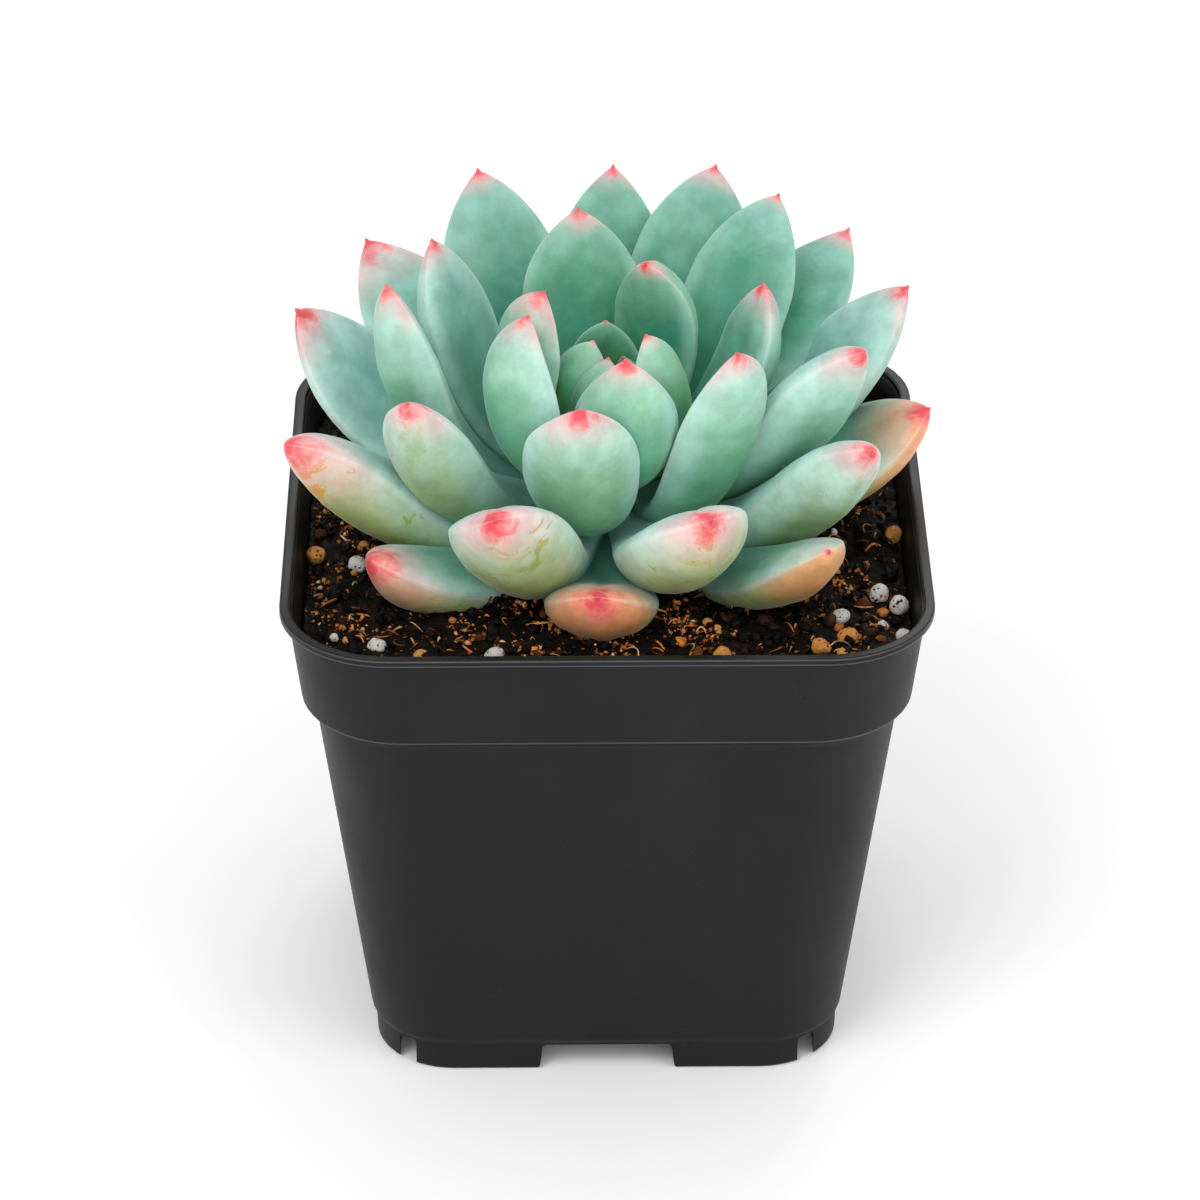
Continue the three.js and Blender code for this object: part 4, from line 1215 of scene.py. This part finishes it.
class LeafProperties(bpy.types.PropertyGroup):
    """Settings of the leaves"""

    # Painted shade: the darker green at each leaf's foot stands in for the shade among the crowded leaf
    # bases.
    foot_shade_colour: colour_setting("Foot", "Deep green of the leaf's foot", 52, 132, 94)
    face_colour: colour_setting("Face", "Green of the leaf's face", 58, 142, 118)
    back_colour: colour_setting("Back", "Green of the leaf's back", 92, 166, 138)
    young_colour: colour_setting("Moss", "Yellower green in the young leaves", 96, 162, 76)
    frost_colour: colour_setting("Frost", "Mint of the margins", 190, 226, 220)
    olive_colour: colour_setting("Olive", "Belly of older leaves", 156, 170, 76)
    tan_colour: colour_setting("Tan", "Belly of the oldest leaves", 216, 148, 60)
    bloom_colour: colour_setting("Bloom", "Colour of the pale powder", 196, 214, 204)
    flush_colour: colour_setting("Flush", "Colour round the tip", 232, 164, 172)
    coral_colour: colour_setting("Coral", "Cap round the point", 232, 112, 112)
    tip_colour: colour_setting("Tip", "Red of the sharp point", 222, 66, 82)
    stem_colour: colour_setting("Stem", "Colour of the stem", 140, 150, 100)


class SUCCULENT_OT_leaves(bpy.types.Operator):
    """Build every leaf of the rosette, from the oldest to the youngest"""

    bl_idname = "succulent.leaves"
    bl_label = "Leaves"

    def execute(self, context):
        material = leaf_material(context.scene.succulent_leaf)
        for index, row in enumerate(LEAVES):
            age = index / (len(LEAVES) - 1)
            points, s, turn = leaf_surface(row, age, 100 + index)
            vertices, faces = closed_grid(points)
            shape = points.shape[:2]
            pole = (0.0, 1.0)
            blush, warmth, bloom = row[9:]
            attributes = {
                "along": np.r_[np.broadcast_to(s[:, None], shape).ravel(), pole],
                "across": np.r_[np.broadcast_to(np.cos(turn)[None], shape).ravel(), 0, 0],
                "side": np.r_[np.broadcast_to(np.sin(turn)[None], shape).ravel(), 0, 0],
                "blush": np.full(len(vertices), blush),
                "warmth": np.full(len(vertices), warmth),
                "bloom": np.full(len(vertices), bloom),
                "age": np.full(len(vertices), age),
                "point": np.linalg.norm(vertices - vertices[-1], axis=1) / MM,
            }
            node = f"leaf_{len(LEAVES) - index:02d}"
            piece = make_mesh(node + "_blade", vertices, faces, attributes)
            finish_piece(piece, material, "leaf", node)
        return {"FINISHED"}


def stem_material(sizes):
    """Dull green-brown stem skin, mottled with a darker brown."""
    material, nodes, shader = new_material("Stem skin", Roughness=0.7)
    grain = nodes.group(fine_grain(), Scale=2200.0, Mottle_Scale=300.0)
    colour = nodes.mix(grain["Mottle"], tuple(sizes.stem_colour), linear(104, 88, 58))
    nodes.put(shader.inputs["Base Color"], colour)
    nodes.put(shader.inputs["Normal"], nodes.bump(grain["Height"], 0.5, 0.0003))
    return material


class SUCCULENT_OT_stem(bpy.types.Operator):
    """Build the short stem, with rings of leaf scars"""

    bl_idname = "succulent.stem"
    bl_label = "Stem"

    def execute(self, context):
        low, high = STEM_LOW.z / MM, STEM_HIGH.z / MM
        z = np.linspace(low, high, 90)
        buried = smoothstep(low, SOIL_TOP_MM, z)
        radius = np.where(z < SOIL_TOP_MM, lerp(3.0, STEM_RADIUS_MM, buried), stem_radius(z))
        radius = radius * np.sqrt(np.clip((high - z) / 1.5, 0, 1) * 0.98 + 0.02)
        radius = radius - 0.25 * np.abs(np.sin(z * 1.9))
        turn = np.linspace(0, 2 * math.pi, 41)[:-1]
        radius = np.maximum(radius, 0.1)[:, None] + 0 * turn
        ring = np.stack([radius * np.cos(turn), radius * np.sin(turn), z[:, None] + 0 * turn], -1)
        points = ring * MM + np.array([ROSETTE_X, ROSETTE_Y, 0])
        piece = make_mesh("stem_column", *closed_grid(points))
        finish_piece(piece, stem_material(context.scene.succulent_leaf), "stem", "stem")
        return {"FINISHED"}


# ---------------------------------------------------------------- stage


def power_setting(name, description, default):
    """A light's power, in watts."""
    return FloatProperty(name=name, description=description, default=default, min=0, unit="POWER")


class StageProperties(bpy.types.PropertyGroup):
    """Settings of the lights and the camera"""

    key_power: power_setting("Key light", "Power of the soft light from the left", 6.2)
    fill_power: power_setting("Fill light", "Power of the soft light from the right", 3.5)
    front_power: power_setting("Front light", "Power of the low soft light in front", 5.0)
    world_strength: FloatProperty(
        name="Surroundings", description="Strength of the even light from all round", default=0.72, min=0
    )
    focal_length: FloatProperty(
        name="Focal length", description="Of the camera, in millimetres", default=166.4, min=20
    )


class SUCCULENT_OT_stage(bpy.types.Operator):
    """Build the pale floor, the soft lights and the camera"""

    bl_idname = "succulent.stage"
    bl_label = "Stage"

    def execute(self, context):
        scene, sizes = context.scene, context.scene.succulent_stage
        material, _, shader = new_material("Pale floor", Roughness=0.9)
        shader.inputs["Base Color"].default_value = (0.985, 0.985, 0.985, 1)
        shader.inputs["Specular IOR Level"].default_value = 0.1
        half = 30.0
        corners = np.array([(-half, -half, 0), (half, -half, 0), (half, half, 0), (-half, half, 0)])
        floor = make_mesh("floor", corners, [np.array([[0, 1, 2, 3]])])
        floor.data.materials.append(material)

        world = bpy.data.worlds.new("White surroundings")
        scene.world = world
        world.use_nodes = True
        background = world.node_tree.nodes["Background"]
        background.inputs["Color"].default_value = (1, 1, 1, 1)
        background.inputs["Strength"].default_value = sizes.world_strength

        lamps = (
            ("key", sizes.key_power, 0.7, (-0.55, -0.75, 1.05)),
            ("fill", sizes.fill_power, 0.8, (0.85, -0.65, 0.75)),
            ("back", sizes.fill_power, 0.7, (0.15, 0.9, 0.85)),
            ("front", sizes.front_power, 1.0, (0.1, -1.3, 0.3)),
        )
        target = np.array([0, 0, POT_HEIGHT])
        for name, power, width, place in lamps:
            light = bpy.data.lights.new(name, "AREA")
            light.energy = power
            light.size = width
            lamp = bpy.data.objects.new(name, light)
            scene.collection.objects.link(lamp)
            way = target - np.array(place)
            pitch = math.atan2(math.hypot(way[0], way[1]), -way[2])
            lamp.rotation_euler = Euler((pitch, 0, math.atan2(-way[0], way[1])))
            lamp.location = place

        camera_data = bpy.data.cameras.new("camera")
        camera_data.lens = sizes.focal_length
        camera_data.sensor_width = 36
        camera_data.clip_end = 100
        camera = bpy.data.objects.new("camera", camera_data)
        camera.location = (-0.00837, -0.7598, 0.5157)
        down, turned = 0.5353, 0.010
        camera.rotation_euler = Euler((math.pi / 2 - down, 0, -turned))
        scene.collection.objects.link(camera)
        scene.camera = camera
        scene.view_settings.view_transform = "Standard"
        return {"FINISHED"}


# ---------------------------------------------------------------- panel and run


class SUCCULENT_PT_panel(bpy.types.Panel):
    """Buttons for each piece of the succulent, with its sizes and colours"""

    bl_idname = "SUCCULENT_PT_panel"
    bl_label = "Potted succulent"
    bl_space_type = "VIEW_3D"
    bl_region_type = "UI"
    bl_category = "Succulent"

    def draw(self, context):
        layout = self.layout
        for settings, operators in SECTIONS:
            box = layout.box()
            group = getattr(context.scene, settings)
            for key in group.bl_rna.properties.keys():
                if key not in ("rna_type", "name"):
                    box.prop(group, key)
            for operator in operators:
                box.operator(operator)


SECTIONS = (
    ("succulent_stage", ("succulent.stage",)),
    ("succulent_pot", ("succulent.pot",)),
    ("succulent_mix", ("succulent.mix", "succulent.crumbs")),
    ("succulent_grains", ("succulent.grains",)),
    ("succulent_leaf", ("succulent.stem", "succulent.leaves")),
)

PROPERTIES = {
    "succulent_stage": StageProperties,
    "succulent_pot": PotProperties,
    "succulent_mix": MixProperties,
    "succulent_grains": GrainProperties,
    "succulent_leaf": LeafProperties,
}

OPERATORS = (
    SUCCULENT_OT_stage,
    SUCCULENT_OT_pot,
    SUCCULENT_OT_mix,
    SUCCULENT_OT_crumbs,
    SUCCULENT_OT_grains,
    SUCCULENT_OT_stem,
    SUCCULENT_OT_leaves,
)


def register():
    """Registers the classes and puts the settings on the scene."""
    for cls in (*PROPERTIES.values(), *OPERATORS, SUCCULENT_PT_panel):
        bpy.utils.register_class(cls)
    for name, cls in PROPERTIES.items():
        setattr(bpy.types.Scene, name, PointerProperty(type=cls))


def unregister():
    """Takes the settings and the classes away again."""
    for name in PROPERTIES:
        delattr(bpy.types.Scene, name)
    for cls in reversed((*PROPERTIES.values(), *OPERATORS, SUCCULENT_PT_panel)):
        bpy.utils.unregister_class(cls)


def main():
    register()
    for _, operators in SECTIONS:
        for operator in operators:
            group, name = operator.split(".")
            getattr(getattr(bpy.ops, group), name)()


if __name__ == "__main__":
    main()
